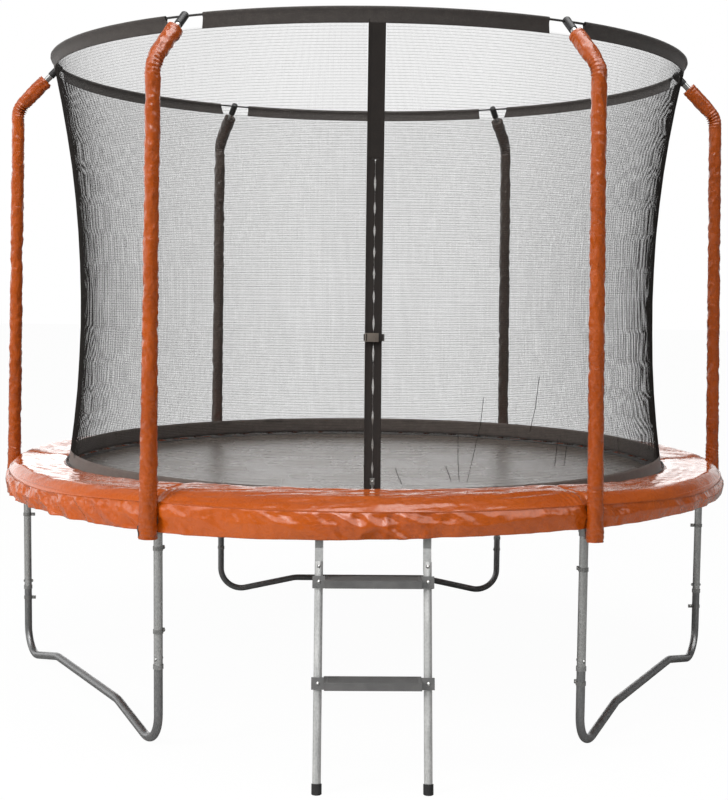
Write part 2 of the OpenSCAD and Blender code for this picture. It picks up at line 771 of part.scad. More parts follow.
module zip_slider() {
    half_h = slider_h / 2;
    front = tape_front + slider_gap;
    post_w = zip_slit - 1;
    color(zinc) {
        entry_sweep(slider_z - half_h, slider_z + half_h, -slider_w / 2, slider_w / 2,
            front, front + slider_plate);
        entry_sweep(slider_z - half_h, slider_z + half_h, -slider_w / 2, slider_w / 2,
            -front - slider_plate, -front);
        entry_sweep(slider_z - 2, slider_z + half_h - 2, -post_w / 2, post_w / 2,
            -front - slider_plate / 2, front + slider_plate / 2);
        // Two ears carry the pull's pin
        for (x = [-6, 4]) at_entry(slider_z) translate([x, -front - slider_plate - bail_out, -2])
            cube([2, bail_out + slider_plate / 2, 6]);
    }
}

pull_pin_r = 0.9;
pull_out = tape_front + slider_gap + slider_plate + bail_out / 2;

// The pull tab hangs on a pin between the slider's ears
module zip_pull() {
    tab_w = 7.4;
    tab_h = 34;
    tab_t = 1.6;
    color(zinc) at_entry(slider_z) translate([0, -pull_out, 1]) difference() {
        union() {
            rotate([0, 90, 0]) cylinder(r = pull_pin_r + 0.7, h = tab_w, center = true);
            translate([-tab_w / 2, -tab_t / 2, -tab_h]) cube([tab_w, tab_t, tab_h]);
        }
        translate([0, 0, -tab_h + 6]) rotate([90, 0, 0])
            cylinder(r = 2.2, h = tab_t + 2 * over, center = true);
    }
}

socket_len = 34;
plug_len = 28;
buckle_h = webbing_w + 6;
buckle_depth = 9;
// The two buckle halves meet this far right of the zip's middle
buckle_meet_x = 4;
prong_reach = 14;
// Travel that frees the plug's prongs from the socket
plug_travel = prong_reach + 2;
web_t = 1.4;
// The webbing's channel through the plug
channel_depth = web_t + 1.2;
channel_back = 1.4;

// Places its children on the buckle's back face, with -Y out of the net
module at_buckle() {
    at_entry(buckle_z) translate([0, -buckle_back, 0]) children();
}

module buckle_socket() {
    color(dark_plastic) at_buckle() translate([buckle_meet_x - socket_len, -buckle_depth,
        -buckle_h / 2]) difference() {
            cube([socket_len, buckle_depth, buckle_h]);
            // Room for the plug's prongs, open towards the plug
            translate([socket_len - prong_reach - 2, 2.2, 3])
                cube([prong_reach + 2 + over, buckle_depth - 4.4, buckle_h - 6]);
            // Windows through which the prongs are pressed
            for (z = [-over, buckle_h - 3 - over]) translate([socket_len - 14, 2.6, z])
                cube([8, buckle_depth - 5.2, 3 + 2 * over]);
            // Webbing slot
            translate([4, -over, 3]) cube([3.5, buckle_depth + 2 * over, buckle_h - 6]);
        }
}

module buckle_plug() {
    prong_w = 5;
    color(dark_plastic) at_buckle() translate([buckle_meet_x, -buckle_depth, -buckle_h / 2]) {
        difference() {
            translate([fit, 0, 0]) cube([plug_len - prong_reach - fit, buckle_depth, buckle_h]);
            // The webbing runs through here, along the whole plug
            translate([-over, buckle_depth - channel_back - channel_depth, 2.5])
                cube([plug_len, channel_depth, buckle_h - 5]);
        }
        for (z = [3 + fit, buckle_h - 3 - fit - prong_w])
            translate([-prong_reach, 2.2 + fit, z]) cube([prong_reach + 1, 1.7, prong_w]);
    }
}

// Webbing sewn to the zip tapes: one end is fixed in the socket, and the plug slides
// along the other
module buckle_webbing() {
    flat = -tape_front - fit;
    // Left: sewn beside the zip, then out to the back of the socket
    left_out = -buckle_back + fit;
    left_x = buckle_meet_x - socket_len;
    // Right: sewn beside the zip, then out and through the plug
    right_out = -buckle_back - channel_back - (channel_depth + web_t) / 2;
    right_x = buckle_meet_x + plug_len - prong_reach + plug_travel + 2;
    sewn = 14;
    color(web_black) at_entry(buckle_z) translate([0, 0, -webbing_w / 2])
        linear_extrude(webbing_w) {
            polygon([[left_x - 12 - sewn, flat], [left_x - 12 - sewn, flat - web_t],
                [left_x - 12, flat - web_t], [left_x - 2, left_out], [left_x + 16, left_out],
                [left_x + 16, left_out + web_t], [left_x - 1, left_out + web_t],
                [left_x - 11, flat]]);
            polygon([[right_x + 12 + sewn, flat], [right_x + 12 + sewn, flat - web_t],
                [right_x + 12, flat - web_t], [right_x, right_out],
                [buckle_meet_x + 2, right_out], [buckle_meet_x + 2, right_out + web_t],
                [right_x - 1, right_out + web_t], [right_x + 11, flat]]);
        }
}

// ---- Ladder

// Places its children on a ladder rail's axis at a height, with +Z up the rail
module at_ladder(side, z) {
    translate([side * ladder_spread / 2, ladder_y(z), z]) rotate([-ladder_lean, 0, 0]) children();
}

ladder_top_z = ladder_ref_z - ladder_tube_drop;
foot_cap_h = 32;
foot_cap_wall = 2.7;

module ladder_rail(side) {
    foot_z = 4;
    length = (ladder_top_z - foot_z) / cos(ladder_lean);
    color(steel) difference() {
        at_ladder(side, foot_z) cylinder(r = ladder_tube_r, h = length);
        at_ladder(side, foot_z) translate([0, 0, -over])
            cylinder(r = ladder_tube_r - ladder_tube_wall, h = length + 2 * over);
        for (z = [step_low_z, step_high_z]) step_bolt_hole(side, z);
        hook_bolt_hole(side);
        below(side, foot_cap_wall + fit);
    }
}

module step_bolt_hole(side, z) {
    at_ladder(side, z) rotate([90, 0, 0]) cylinder(r = 3 + fit, h = 80, center = true);
}

module hook_bolt_hole(side) {
    at_ladder(side, hook_bolt_z()) rotate([90, 0, 0]) cylinder(r = 3 + fit, h = 60, center = true);
}

function hook_bolt_z() = ladder_top_z - 16;

block_w = 42;
block_h = 40;
block_d = 23;

// A moulded step: a ribbed tread with a block behind each rail
module ladder_step(z) {
    inner = ladder_spread / 2 - block_w / 2;
    color(dark_plastic) difference() {
        union() {
            translate([-inner - over, ladder_y(z) - step_depth / 2, z - step_thickness / 2])
                cube([2 * inner + 2 * over, step_depth, step_thickness]);
            for (side = [-1, 1]) at_ladder(side, z)
                translate([-block_w / 2, fit / 2, -block_h / 2]) cube([block_w, block_d, block_h]);
        }
        // Grip grooves along the tread
        for (i = [-3 : 3]) translate([-inner + 12, ladder_y(z) + i * step_depth / 8 - 2,
            z + step_thickness / 2 - 2]) cube([2 * inner - 24, 4, 2 + over]);
        // The tread is hollow underneath, between ribs
        for (i = [-2 : 2]) translate([i * 2 * inner / 5 - inner / 5 + 3,
            ladder_y(z) - step_depth / 2 + 4, z - step_thickness / 2 - over])
            cube([2 * inner / 5 - 6, step_depth - 8, step_thickness - 6 + over]);
        for (side = [-1, 1]) {
            at_ladder(side, z) cylinder(r = ladder_tube_r + fit, h = 200, center = true);
            at_ladder(side, z) translate([-block_w / 2 - fit, -block_d - 40, -block_h])
                cube([block_w + 2 * fit, block_d + 40 + fit / 2, 2 * block_h]);
            step_bolt_hole(side, z);
        }
    }
}

module step_clamps() {
    color(dark_plastic) for (z = [step_low_z, step_high_z]) for (side = [-1, 1]) difference() {
        at_ladder(side, z) translate([-block_w / 2, -block_d, -block_h / 2])
            cube([block_w, block_d - fit / 2, block_h]);
        at_ladder(side, z) cylinder(r = ladder_tube_r + fit, h = 200, center = true);
        step_bolt_hole(side, z);
    }
}

module step_bolts() {
    color(steel) for (z = [step_low_z, step_high_z]) for (side = [-1, 1])
        at_ladder(side, z) rotate([0, 0, -90]) bolt(-block_d - fit, block_d + fit, 0, 3, 7, 4, 5);
}

// Points along an arc about a centre, from one angle to another
function arc_points(centre, radius, from, to, steps) = [for (i = [0 : steps])
    let (a = from + (to - from) * i / steps) [centre[0] + radius * cos(a), centre[1] + radius * sin(a)]];

// One face of the flat hook, set off from its middle towards the frame's outside:
// over the rail, straight down behind the skirt and along the ladder rail
function hook_face(out) = let (
        tail = hook_lap / cos(ladder_lean),
        end = [hook_y - hook_mid_r - hook_bend_r * (1 - cos(ladder_lean))
            - out * cos(ladder_lean) - tail * sin(ladder_lean),
            hook_bend_z - hook_bend_r * sin(ladder_lean) + out * sin(ladder_lean)
            - tail * cos(ladder_lean)])
    concat(arc_points([hook_y, hook_z], hook_mid_r + out, -25, 180, 41),
        arc_points([hook_y - hook_mid_r - hook_bend_r, hook_bend_z], hook_bend_r - out,
            0, -ladder_lean, 4),
        [end]);

module hook_outline() {
    inner = hook_face(-hook_thickness / 2);
    polygon(concat(hook_face(hook_thickness / 2),
        [for (i = [len(inner) - 1 : -1 : 0]) inner[i]]));
}

module ladder_hooks() {
    color(steel) for (side = [-1, 1]) difference() {
        translate([side * ladder_spread / 2 - hook_w / 2, 0, 0]) rotate([90, 0, 90])
            linear_extrude(hook_w) hook_outline();
        hook_bolt_hole(side);
    }
}

module hook_bolts() {
    back = ladder_tube_r + hook_thickness + fit;
    color(steel) for (side = [-1, 1]) at_ladder(side, hook_bolt_z()) rotate([0, 0, -90])
        bolt(-back - fit, ladder_tube_r + fit, 0, 3, 6.5, 4, 5);
}

// All below a height at a rail's foot, where the slanting rail and its cap are cut level
module below(side, z) {
    translate([side * ladder_spread / 2 - 50, ladder_y(0) - 100, z - 100]) cube([100, 200, 100]);
}

module ladder_feet() {
    color(black_plastic) for (side = [-1, 1]) difference() {
        at_ladder(side, 0) translate([0, 0, -20])
            cylinder(r = ladder_tube_r + fit + foot_cap_wall, h = foot_cap_h + 20);
        difference() {
            at_ladder(side, 0) translate([0, 0, -20])
                cylinder(r = ladder_tube_r + fit, h = foot_cap_h + 40);
            below(side, foot_cap_wall);
        }
        below(side, 0);
    }
}

rail(0);  // rail_1
rail(1);  // rail_2
rail(2);  // rail_3
rail(3);  // rail_4
rail(4);  // rail_5
rail(5);  // rail_6
pole(0);  // pole_1
pole(1);  // pole_2
pole(2);  // pole_3
pole(3);  // pole_4
pole(4);  // pole_5
pole(5);  // pole_6
sleeve(0);  // sleeve_1
sleeve(1);  // sleeve_2
sleeve(2);  // sleeve_3
sleeve(3);  // sleeve_4
sleeve(4);  // sleeve_5
sleeve(5);  // sleeve_6
pole_foam();
pole_caps();
pole_spacers();
pole_bolts();
t_sockets();
leg_tubes();
leg_base(3);  // leg_base_left
leg_base(5);  // leg_base_right
leg_base(1);  // leg_base_back
joint_collars();
leg_bolts();
leg_clamps();
clamp_screws();
mat();
mat_border();
mat_rings();
springs();
pad_cover();
pad_foam();
pad_cords();
ring_rods();
rod_ferrules();
net_top_band();
net_panels();
net_lower_band();
entry_strip();
zip_tape(-1);  // zip_tape_left
zip_tape(1);  // zip_tape_right
zip_slider();
zip_pull();
buckle_socket();
buckle_plug();
buckle_webbing();
ladder_rail(-1);  // ladder_rail_left
ladder_rail(1);  // ladder_rail_right
ladder_step(step_low_z);  // ladder_step_lower
ladder_step(step_high_z);  // ladder_step_upper
step_clamps();
step_bolts();
ladder_hooks();
hook_bolts();
ladder_feet();
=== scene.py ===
# A round garden trampoline on three W-shaped legs, with a sprung mat, a padded spring
# cover, six padded poles, a zipped safety net and a hook-on ladder.
# Metres, +Z up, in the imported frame: the entrance and the ladder face -Y.
import json
import math

import bmesh
import bpy
import numpy as np
from mathutils import Matrix, Vector

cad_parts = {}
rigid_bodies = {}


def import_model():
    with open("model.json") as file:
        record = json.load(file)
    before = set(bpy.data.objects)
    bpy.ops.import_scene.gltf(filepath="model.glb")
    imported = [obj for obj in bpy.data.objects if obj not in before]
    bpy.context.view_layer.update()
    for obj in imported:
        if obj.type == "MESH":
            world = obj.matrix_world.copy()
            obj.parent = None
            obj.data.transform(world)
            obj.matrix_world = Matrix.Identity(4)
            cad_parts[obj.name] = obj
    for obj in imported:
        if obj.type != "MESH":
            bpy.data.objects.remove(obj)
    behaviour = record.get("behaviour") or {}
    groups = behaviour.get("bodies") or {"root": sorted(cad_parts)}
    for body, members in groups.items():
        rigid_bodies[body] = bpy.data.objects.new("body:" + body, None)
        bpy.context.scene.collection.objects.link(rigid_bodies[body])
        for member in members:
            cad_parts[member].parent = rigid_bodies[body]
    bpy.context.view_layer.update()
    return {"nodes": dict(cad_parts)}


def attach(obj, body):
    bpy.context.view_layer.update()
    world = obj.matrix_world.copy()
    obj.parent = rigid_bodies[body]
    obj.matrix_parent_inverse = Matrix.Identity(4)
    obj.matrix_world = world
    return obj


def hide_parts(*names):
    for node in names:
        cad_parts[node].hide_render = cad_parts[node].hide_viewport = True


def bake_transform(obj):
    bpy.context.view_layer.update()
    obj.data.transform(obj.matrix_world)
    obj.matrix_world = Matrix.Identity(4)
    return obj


for leftover in list(bpy.data.objects):
    bpy.data.objects.remove(leftover)
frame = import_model()
nodes = frame["nodes"]

# ---- Standpoint, floor and daylight
# The trampoline stands on a plain white floor. The viewer stands six metres off at the
# height of a standing person's chest, a step to the left of the entrance's line. Broad
# soft light falls from above, with the left side a little brighter than the right.


def add(tree, kind, inputs=None, **settings):
    """Adds a node. Each input is a value, or the socket that feeds it. Inputs go by name or by
    number: a mix has its share at 0, two numbers at 2 and 3 and two colours at 6 and 7, and
    a map range turns the span from 1 to 2 into the span from 3 to 4."""
    node = tree.nodes.new(kind)
    for name, value in settings.items():
        setattr(node, name, value)
    for name, value in (inputs or {}).items():
        if isinstance(value, bpy.types.NodeSocket):
            tree.links.new(value, node.inputs[name])
        else:
            node.inputs[name].default_value = value
    return node


def srgb(code):
    """A hex colour as the linear numbers that a socket takes."""
    parts = [int(code[i:i + 2], 16) / 255 for i in (1, 3, 5)]
    return [p / 12.92 if p < 0.04045 else ((p + 0.055) / 1.055) ** 2.4 for p in parts] + [1]


heading = math.radians(88.9)
pitch = math.radians(4.47)
roll = 0.010
stand_off, eye_height, step_aside = 6.105, 1.632, 0.007
ahead = Vector((math.cos(heading) * math.cos(pitch), math.sin(heading) * math.cos(pitch),
                -math.sin(pitch)))
level = Vector((math.sin(heading), -math.cos(heading), 0))
upright = level.cross(ahead)
across = level * math.cos(roll) + upright * math.sin(roll)
upright = across.cross(ahead)
viewer = bpy.data.objects.new("viewer", bpy.data.cameras.new("viewer"))
bpy.context.scene.collection.objects.link(viewer)
viewer.data.lens = 61.65
viewer.data.sensor_width = 36
viewer.data.clip_end = 200
stands_at = Vector((-stand_off * math.cos(heading), -stand_off * math.sin(heading), eye_height))
viewer.matrix_world = Matrix.Translation(stands_at - level * step_aside) @ Matrix(
    (across, upright, -ahead)).transposed().to_4x4()
bpy.context.scene.camera = viewer
bpy.context.scene.view_settings.view_transform = "Standard"

world = bpy.data.worlds.new("studio")
bpy.context.scene.world = world
world.use_nodes = True
sky = world.node_tree
sky.nodes.clear()
ray = add(sky, "ShaderNodeLightPath")
compass = add(sky, "ShaderNodeSeparateXYZ",
              {0: add(sky, "ShaderNodeTexCoord").outputs["Generated"]})
# What shiny pieces mirror: a white wall behind the trampoline, dark above its top edge,
# dimmer towards the viewer's right and brightest straight behind; and a pale sky high up
# over the viewer's head
behind = add(sky, "ShaderNodeMath", {0: compass.outputs["Y"], 1: 0.65, 2: 0.50},
             operation="MULTIPLY_ADD")
wall = add(sky, "ShaderNodeMath", {0: compass.outputs["X"], 1: -0.68,
                                   2: behind.outputs[0]}, operation="MULTIPLY_ADD")
above = add(sky, "ShaderNodeMapRange", {0: compass.outputs["Z"], 1: 0.14, 2: 0.50,
                                        3: 0.0, 4: 0.85})
straight = add(sky, "ShaderNodeMapRange", {0: compass.outputs["Y"], 1: 0.93, 2: 0.995,
                                           3: 0.0, 4: 1.2})
wall = add(sky, "ShaderNodeMath", {0: wall.outputs[0], 1: straight.outputs[0]})
below_top = add(sky, "ShaderNodeMath", {0: wall.outputs[0], 1: above.outputs[0]},
                operation="SUBTRACT")
low_part = add(sky, "ShaderNodeClamp", {"Value": below_top.outputs[0], "Min": 0.08, "Max": 2.1})
overhead = add(sky, "ShaderNodeMapRange", {0: compass.outputs["Z"], 1: 0.32, 2: 0.52,
                                           3: 0.0, 4: 2.6})
in_front = add(sky, "ShaderNodeMapRange", {0: compass.outputs["Y"], 1: -0.05, 2: -0.35,
                                           3: 0.0, 4: 1.0})
mirrored = add(sky, "ShaderNodeMath", {0: overhead.outputs[0], 1: in_front.outputs[0],
                                       2: low_part.outputs[0]}, operation="MULTIPLY_ADD")
# Everything else is lit by an even, dim sky, and the eye sees plain white
soft = add(sky, "ShaderNodeMix", {0: ray.outputs["Is Glossy Ray"], 2: 0.36,
                                  3: mirrored.outputs[0]})
seen = add(sky, "ShaderNodeMath", {0: ray.outputs["Is Camera Ray"],
                                   1: ray.outputs["Is Transmission Ray"]}, operation="MAXIMUM")
strength = add(sky, "ShaderNodeMix", {0: seen.outputs[0], 2: soft.outputs[0], 3: 1.0})
daylight = add(sky, "ShaderNodeBackground", {"Color": (1, 1, 1, 1),
                                             "Strength": strength.outputs[0]})
add(sky, "ShaderNodeOutputWorld", {"Surface": daylight.outputs[0]})


def softbox(name, place, aim, size, watts, mirrored_too=True):
    """A square diffuser that hangs at a place and faces a point."""
    lamp = bpy.data.lights.new(name, "AREA")
    lamp.shape, lamp.size, lamp.energy = "SQUARE", size, watts
    hung = bpy.data.objects.new(name, lamp)
    bpy.context.scene.collection.objects.link(hung)
    hung.location = place
    hung.rotation_mode = "QUATERNION"
    hung.rotation_quaternion = (Vector(aim) - Vector(place)).to_track_quat("-Z", "Y")
    hung.visible_glossy = mirrored_too


softbox("left_softbox", (-6.0, -4.5, 4.0), (0, 0, 1.1), 2.4, 420, False)
softbox("front_softbox", (-0.8, -6.5, 6.2), (0, 0, 0.9), 3.0, 150)
softbox("top_softbox", (0.5, -0.5, 6.8), (0, 0, 0.9), 4.0, 230)

ground = bpy.data.meshes.new("floor")
ground.from_pydata([(-60, -60, 0), (60, -60, 0), (60, 60, 0), (-60, 60, 0)], [], [(0, 1, 2, 3)])
floor = bpy.data.objects.new("floor", ground)
bpy.context.scene.collection.objects.link(floor)
paint = bpy.data.materials.new("matt_white_floor_paint")
paint.use_nodes = True
coat = paint.node_tree
coat.nodes.clear()
looked_at = add(coat, "ShaderNodeLightPath")
# Shiny pieces mirror the floor as if it were grey further out
tone = add(coat, "ShaderNodeMix", {0: looked_at.outputs["Is Glossy Ray"], 6: srgb("#f4f4f3"),
                                   7: srgb("#a5a5a4")}, data_type="RGBA")
matt = add(coat, "ShaderNodeBsdfDiffuse", {"Color": tone.outputs[2]})
glow = add(coat, "ShaderNodeEmission", {"Color": (1, 1, 1, 1), "Strength": 1.0})
white = add(coat, "ShaderNodeMath", {0: looked_at.outputs["Is Camera Ray"], 1: 0.97},
            operation="MULTIPLY")
mixed = add(coat, "ShaderNodeMixShader", {0: white.outputs[0], 1: matt.outputs[0],
                                          2: glow.outputs[0]})
add(coat, "ShaderNodeOutputMaterial", {"Surface": mixed.outputs[0]})
floor.data.materials.append(paint)

# ---- Steel frame
# Six curved rails meet in welded T-sockets on six legs, which three W-shaped bases join
# in pairs. The tubes are rolled from galvanised strip, so they are pale grey with a
# soft, faintly spangled shine; the older bases and the castings are duller.


def blank_finish(name):
    """A new material with its shader, and nothing else in its tree."""
    material = bpy.data.materials.new(name)
    material.use_nodes = True
    tree = material.node_tree
    tree.nodes.clear()
    shader = add(tree, "ShaderNodeBsdfPrincipled")
    add(tree, "ShaderNodeOutputMaterial", {"Surface": shader.outputs[0]})
    return material, tree, shader


def galvanised_steel(name, dark, pale, smooth, dull, bare=0.85):
    """Hot-dipped zinc: crystals a few millimetres wide, and runs along the tube. Bare is the
    share of the metal that no chalky bloom covers."""
    material, tree, shader = blank_finish(name)
    place = add(tree, "ShaderNodeTexCoord").outputs["Object"]
    # The crystals are 9 mm wide, 110 to a metre. The runs are 29 mm wide and 200 mm long
    crystals = add(tree, "ShaderNodeTexVoronoi", {"Vector": place, "Scale": 110})
    runs = add(tree, "ShaderNodeTexNoise", {
        "Vector": add(tree, "ShaderNodeMapping", {0: place, 3: (34, 34, 5)}).outputs[0],
        "Scale": 1, "Detail": 5})
    grain = add(tree, "ShaderNodeMix", {
        0: 0.55, 2: crystals.outputs["Distance"], 3: runs.outputs["Fac"]})
    tint = add(tree, "ShaderNodeMix", {0: grain.outputs[0], 6: srgb(dark), 7: srgb(pale)},
               data_type="RGBA")
    tree.links.new(tint.outputs[2], shader.inputs["Base Color"])
    shader.inputs["Metallic"].default_value = bare
    polish = add(tree, "ShaderNodeMapRange", {0: runs.outputs["Fac"], 1: 0.3, 2: 0.7,
                                              3: smooth, 4: dull})
    tree.links.new(polish.outputs[0], shader.inputs["Roughness"])
    dents = add(tree, "ShaderNodeBump", {"Strength": 0.10, "Distance": 0.0006,
                                         "Height": grain.outputs[0]})
    tree.links.new(dents.outputs[0], shader.inputs["Normal"])
    return material


def dress(finish, *names):
    """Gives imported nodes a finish."""
    for name in names:
        nodes[name].data.materials.clear()
        nodes[name].data.materials.append(finish)


rolled_tube = galvanised_steel("galvanised_steel_tube", "#979897", "#d6d6d4", 0.18, 0.32)
weathered_base = galvanised_steel("galvanised_steel_base", "#77787a", "#a2a2a1", 0.30, 0.46)
cast_fitting = galvanised_steel("galvanised_steel_fitting", "#8b8c8c", "#b9b9b7", 0.34, 0.5)
dress(rolled_tube, *[f"rail_{k}" for k in range(1, 7)], *[f"pole_{k}" for k in range(1, 7)],
      "leg_tubes")
dress(weathered_base, "leg_base_left", "leg_base_right", "leg_base_back")
dress(cast_fitting, "t_sockets", "joint_collars")

# ---- Bolts, nuts, rings and band clamps
# Coach bolts and hexagon nuts with a bright zinc plating. Narrow steel bands with a
# screwed ear are slid along the legs to hold tie-down straps.

zinc_plate, plating, plated = blank_finish("zinc_plate")
where = add(plating, "ShaderNodeTexCoord").outputs["Object"]
# The plating is hazy in smears 11 mm wide
haze = add(plating, "ShaderNodeTexNoise", {"Vector": where, "Scale": 90, "Detail": 4})
hue = add(plating, "ShaderNodeMix", {0: haze.outputs["Fac"], 6: srgb("#9d9ea0"),
                                     7: srgb("#d3d2cd")}, data_type="RGBA")
plating.links.new(hue.outputs[2], plated.inputs["Base Color"])
plated.inputs["Metallic"].default_value = 1.0
sheen = add(plating, "ShaderNodeMapRange", {0: haze.outputs["Fac"], 3: 0.18, 4: 0.36})
plating.links.new(sheen.outputs[0], plated.inputs["Roughness"])
dress(zinc_plate, "pole_bolts", "leg_bolts", "clamp_screws", "rod_ferrules", "mat_rings",
      "step_bolts", "hook_bolts")
band_steel = galvanised_steel("zinc_plated_band", "#6d6d6c", "#b4b4b1", 0.24, 0.4)
dress(band_steel, "leg_clamps")

# ---- Mat
# A disc of woven polypropylene, as tight as a drum. Its tapes are two millimetres wide
# in plain weave, which gives the black a dusty sheen at a flat angle. Part of that sheen
# is painted into the base colour, which is far paler than black.


def make_piece(name, points, faces, finish, smooth=True):
    """A mesh piece from arrays of points and of faces with equal corners."""
    mesh = bpy.data.meshes.new(name)
    points = np.asarray(points, np.float32).reshape(-1, 3)
    faces = np.asarray(faces, np.int32)
    mesh.vertices.add(len(points))
    mesh.vertices.foreach_set("co", points.ravel())
    mesh.loops.add(faces.size)
    mesh.loops.foreach_set("vertex_index", faces.ravel())
    mesh.polygons.add(len(faces))
    mesh.polygons.foreach_set("loop_start", np.arange(0, faces.size, faces.shape[1],
                                                      dtype=np.int32))
    mesh.polygons.foreach_set("use_smooth", np.full(len(faces), smooth))
    mesh.update(calc_edges=True)
    mesh.materials.append(finish)
    piece = bpy.data.objects.new(name, mesh)
    bpy.context.scene.collection.objects.link(piece)
    return piece


def weld(piece, crease=40):
    """Joins doubled points, turns every face outwards and keeps edges past an angle crisp."""
    shell = bmesh.new()
    shell.from_mesh(piece.data)
    bmesh.ops.remove_doubles(shell, verts=shell.verts, dist=1e-5)
    bmesh.ops.recalc_face_normals(shell, faces=shell.faces)
    shell.to_mesh(piece.data)
    shell.free()
    piece.data.set_sharp_from_angle(angle=math.radians(crease))
    return piece


def grid_faces(rows, columns, around, closed, turned=False):
    """Faces over a grid of points. It closes on itself round its rows, its columns or both."""
    index = np.arange(rows * columns).reshape(rows, columns)
    if around:
        index = np.vstack([index, index[:1]])
    if closed:
        index = np.hstack([index, index[:, :1]])
    ring = [index[:-1, :-1], index[1:, :-1], index[1:, 1:], index[:-1, 1:]]
    return np.stack(ring[::-1] if turned else ring, -1).reshape(-1, 4)


def spin(profile, angles):
    """Points (angle, profile, 3) of a profile of (radius, height) pairs spun round Z.
    The profile may differ from angle to angle."""
    profile = np.broadcast_to(profile, (len(angles),) + np.shape(profile)[-2:])
    turn = np.asarray(angles)[:, None]
    return np.stack([profile[..., 0] * np.cos(turn), profile[..., 0] * np.sin(turn),
                     profile[..., 1]], -1)


# A wave texture of scale 1 repeats after this many millimetres
wave_repeat_mm = 314.16


def woven_polypropylene(name, dark, pale, pitch_mm, rough):
    """Flat tapes woven over and under each other, with dust in patches 200 mm wide."""
    material, tree, shader = blank_finish(name)
    place = add(tree, "ShaderNodeTexCoord").outputs["Object"]
    weave = None
    for direction in ("X", "Y"):
        tapes = add(tree, "ShaderNodeTexWave", {"Vector": place, "Scale": wave_repeat_mm / pitch_mm,
                    "Distortion": 0.4}, bands_direction=direction)
        weave = tapes.outputs["Fac"] if weave is None else add(
            tree, "ShaderNodeMath", {0: weave, 1: tapes.outputs["Fac"]},
            operation="MULTIPLY").outputs[0]
    dust = add(tree, "ShaderNodeTexNoise", {"Vector": place, "Scale": 5, "Detail": 6})
    tone = add(tree, "ShaderNodeMath", {0: weave, 1: dust.outputs["Fac"]}, operation="MULTIPLY")
    tint = add(tree, "ShaderNodeMix", {0: tone.outputs[0], 6: srgb(dark), 7: srgb(pale)},
               data_type="RGBA")
    tree.links.new(tint.outputs[2], shader.inputs["Base Color"])
    gloss = add(tree, "ShaderNodeMapRange", {0: dust.outputs["Fac"], 3: rough - 0.08,
                                             4: rough + 0.1})
    tree.links.new(gloss.outputs[0], shader.inputs["Roughness"])
    relief = add(tree, "ShaderNodeBump", {"Strength": 0.35, "Distance": 0.0008, "Height": weave})
    tree.links.new(relief.outputs[0], shader.inputs["Normal"])
    return material


mat_radius, mat_low, mat_high = 1.300, 0.8703, 0.8733
# The tapes are drawn six millimetres wide, because two would be too fine to show
# Painted sheen: the mat's colours are greys far paler than black polypropylene, and stand in for
# its sheen at a flat angle
mat_weave_painted_sheen = woven_polypropylene("woven_polypropylene_mat_painted_sheen", "#57504b", "#9a9087", 6, 0.26)
mat_reach = np.concatenate([np.linspace(0, 1.2, 30), [1.25, 1.28, 1.294, 1.2985, mat_radius]])
mat_dip = 0.0012 * np.cos(mat_reach / mat_radius * math.pi / 2)
mat_profile = np.concatenate([np.stack([mat_reach, mat_high - mat_dip], -1),
                              np.stack([mat_reach, mat_low - mat_dip], -1)[::-1]])
mat_turn = np.linspace(0, 2 * math.pi, 180, endpoint=False)
jumping_mat = weld(make_piece(
    "jumping_mat", spin(mat_profile, mat_turn),
    grid_faces(len(mat_turn), len(mat_profile), True, False), mat_weave_painted_sheen))
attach(jumping_mat, "mat")
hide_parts("mat")

# ---- Mat border
# A 45 mm band of polypropylene webbing, folded over the mat's cut edge and sewn to it all
# the way round. It is black and ribbed, and duller than the mat.


def ribbed_webbing(name, dark, pale, rib_mm, rough):
    """Polyester or polypropylene strap: a dull, dry shine, and lint in patches 26 mm wide. Its
    ribs are a millimetre apart, and drawn two to three and a half apart so that they show."""
    material, tree, shader = blank_finish(name)
    place = add(tree, "ShaderNodeTexCoord").outputs["Object"]
    ribs = add(tree, "ShaderNodeTexVoronoi", {"Vector": place, "Scale": 1000 / rib_mm})
    lint = add(tree, "ShaderNodeTexNoise", {"Vector": place, "Scale": 38, "Detail": 6})
    tone = add(tree, "ShaderNodeMath", {0: ribs.outputs["Distance"], 1: lint.outputs["Fac"]},
               operation="MULTIPLY")
    tint = add(tree, "ShaderNodeMix", {0: tone.outputs[0], 6: srgb(dark), 7: srgb(pale)},
               data_type="RGBA")
    tree.links.new(tint.outputs[2], shader.inputs["Base Color"])
    wear = add(tree, "ShaderNodeMapRange", {0: lint.outputs["Fac"], 3: rough - 0.1,
                                            4: rough + 0.1})
    tree.links.new(wear.outputs[0], shader.inputs["Roughness"])
    shader.inputs["Sheen Weight"].default_value = 0.15
    shader.inputs["Specular IOR Level"].default_value = 0.3
    relief = add(tree, "ShaderNodeBump", {"Strength": 0.4, "Distance": 0.0008,
                                          "Height": ribs.outputs["Distance"]})
    tree.links.new(relief.outputs[0], shader.inputs["Normal"])
    return material


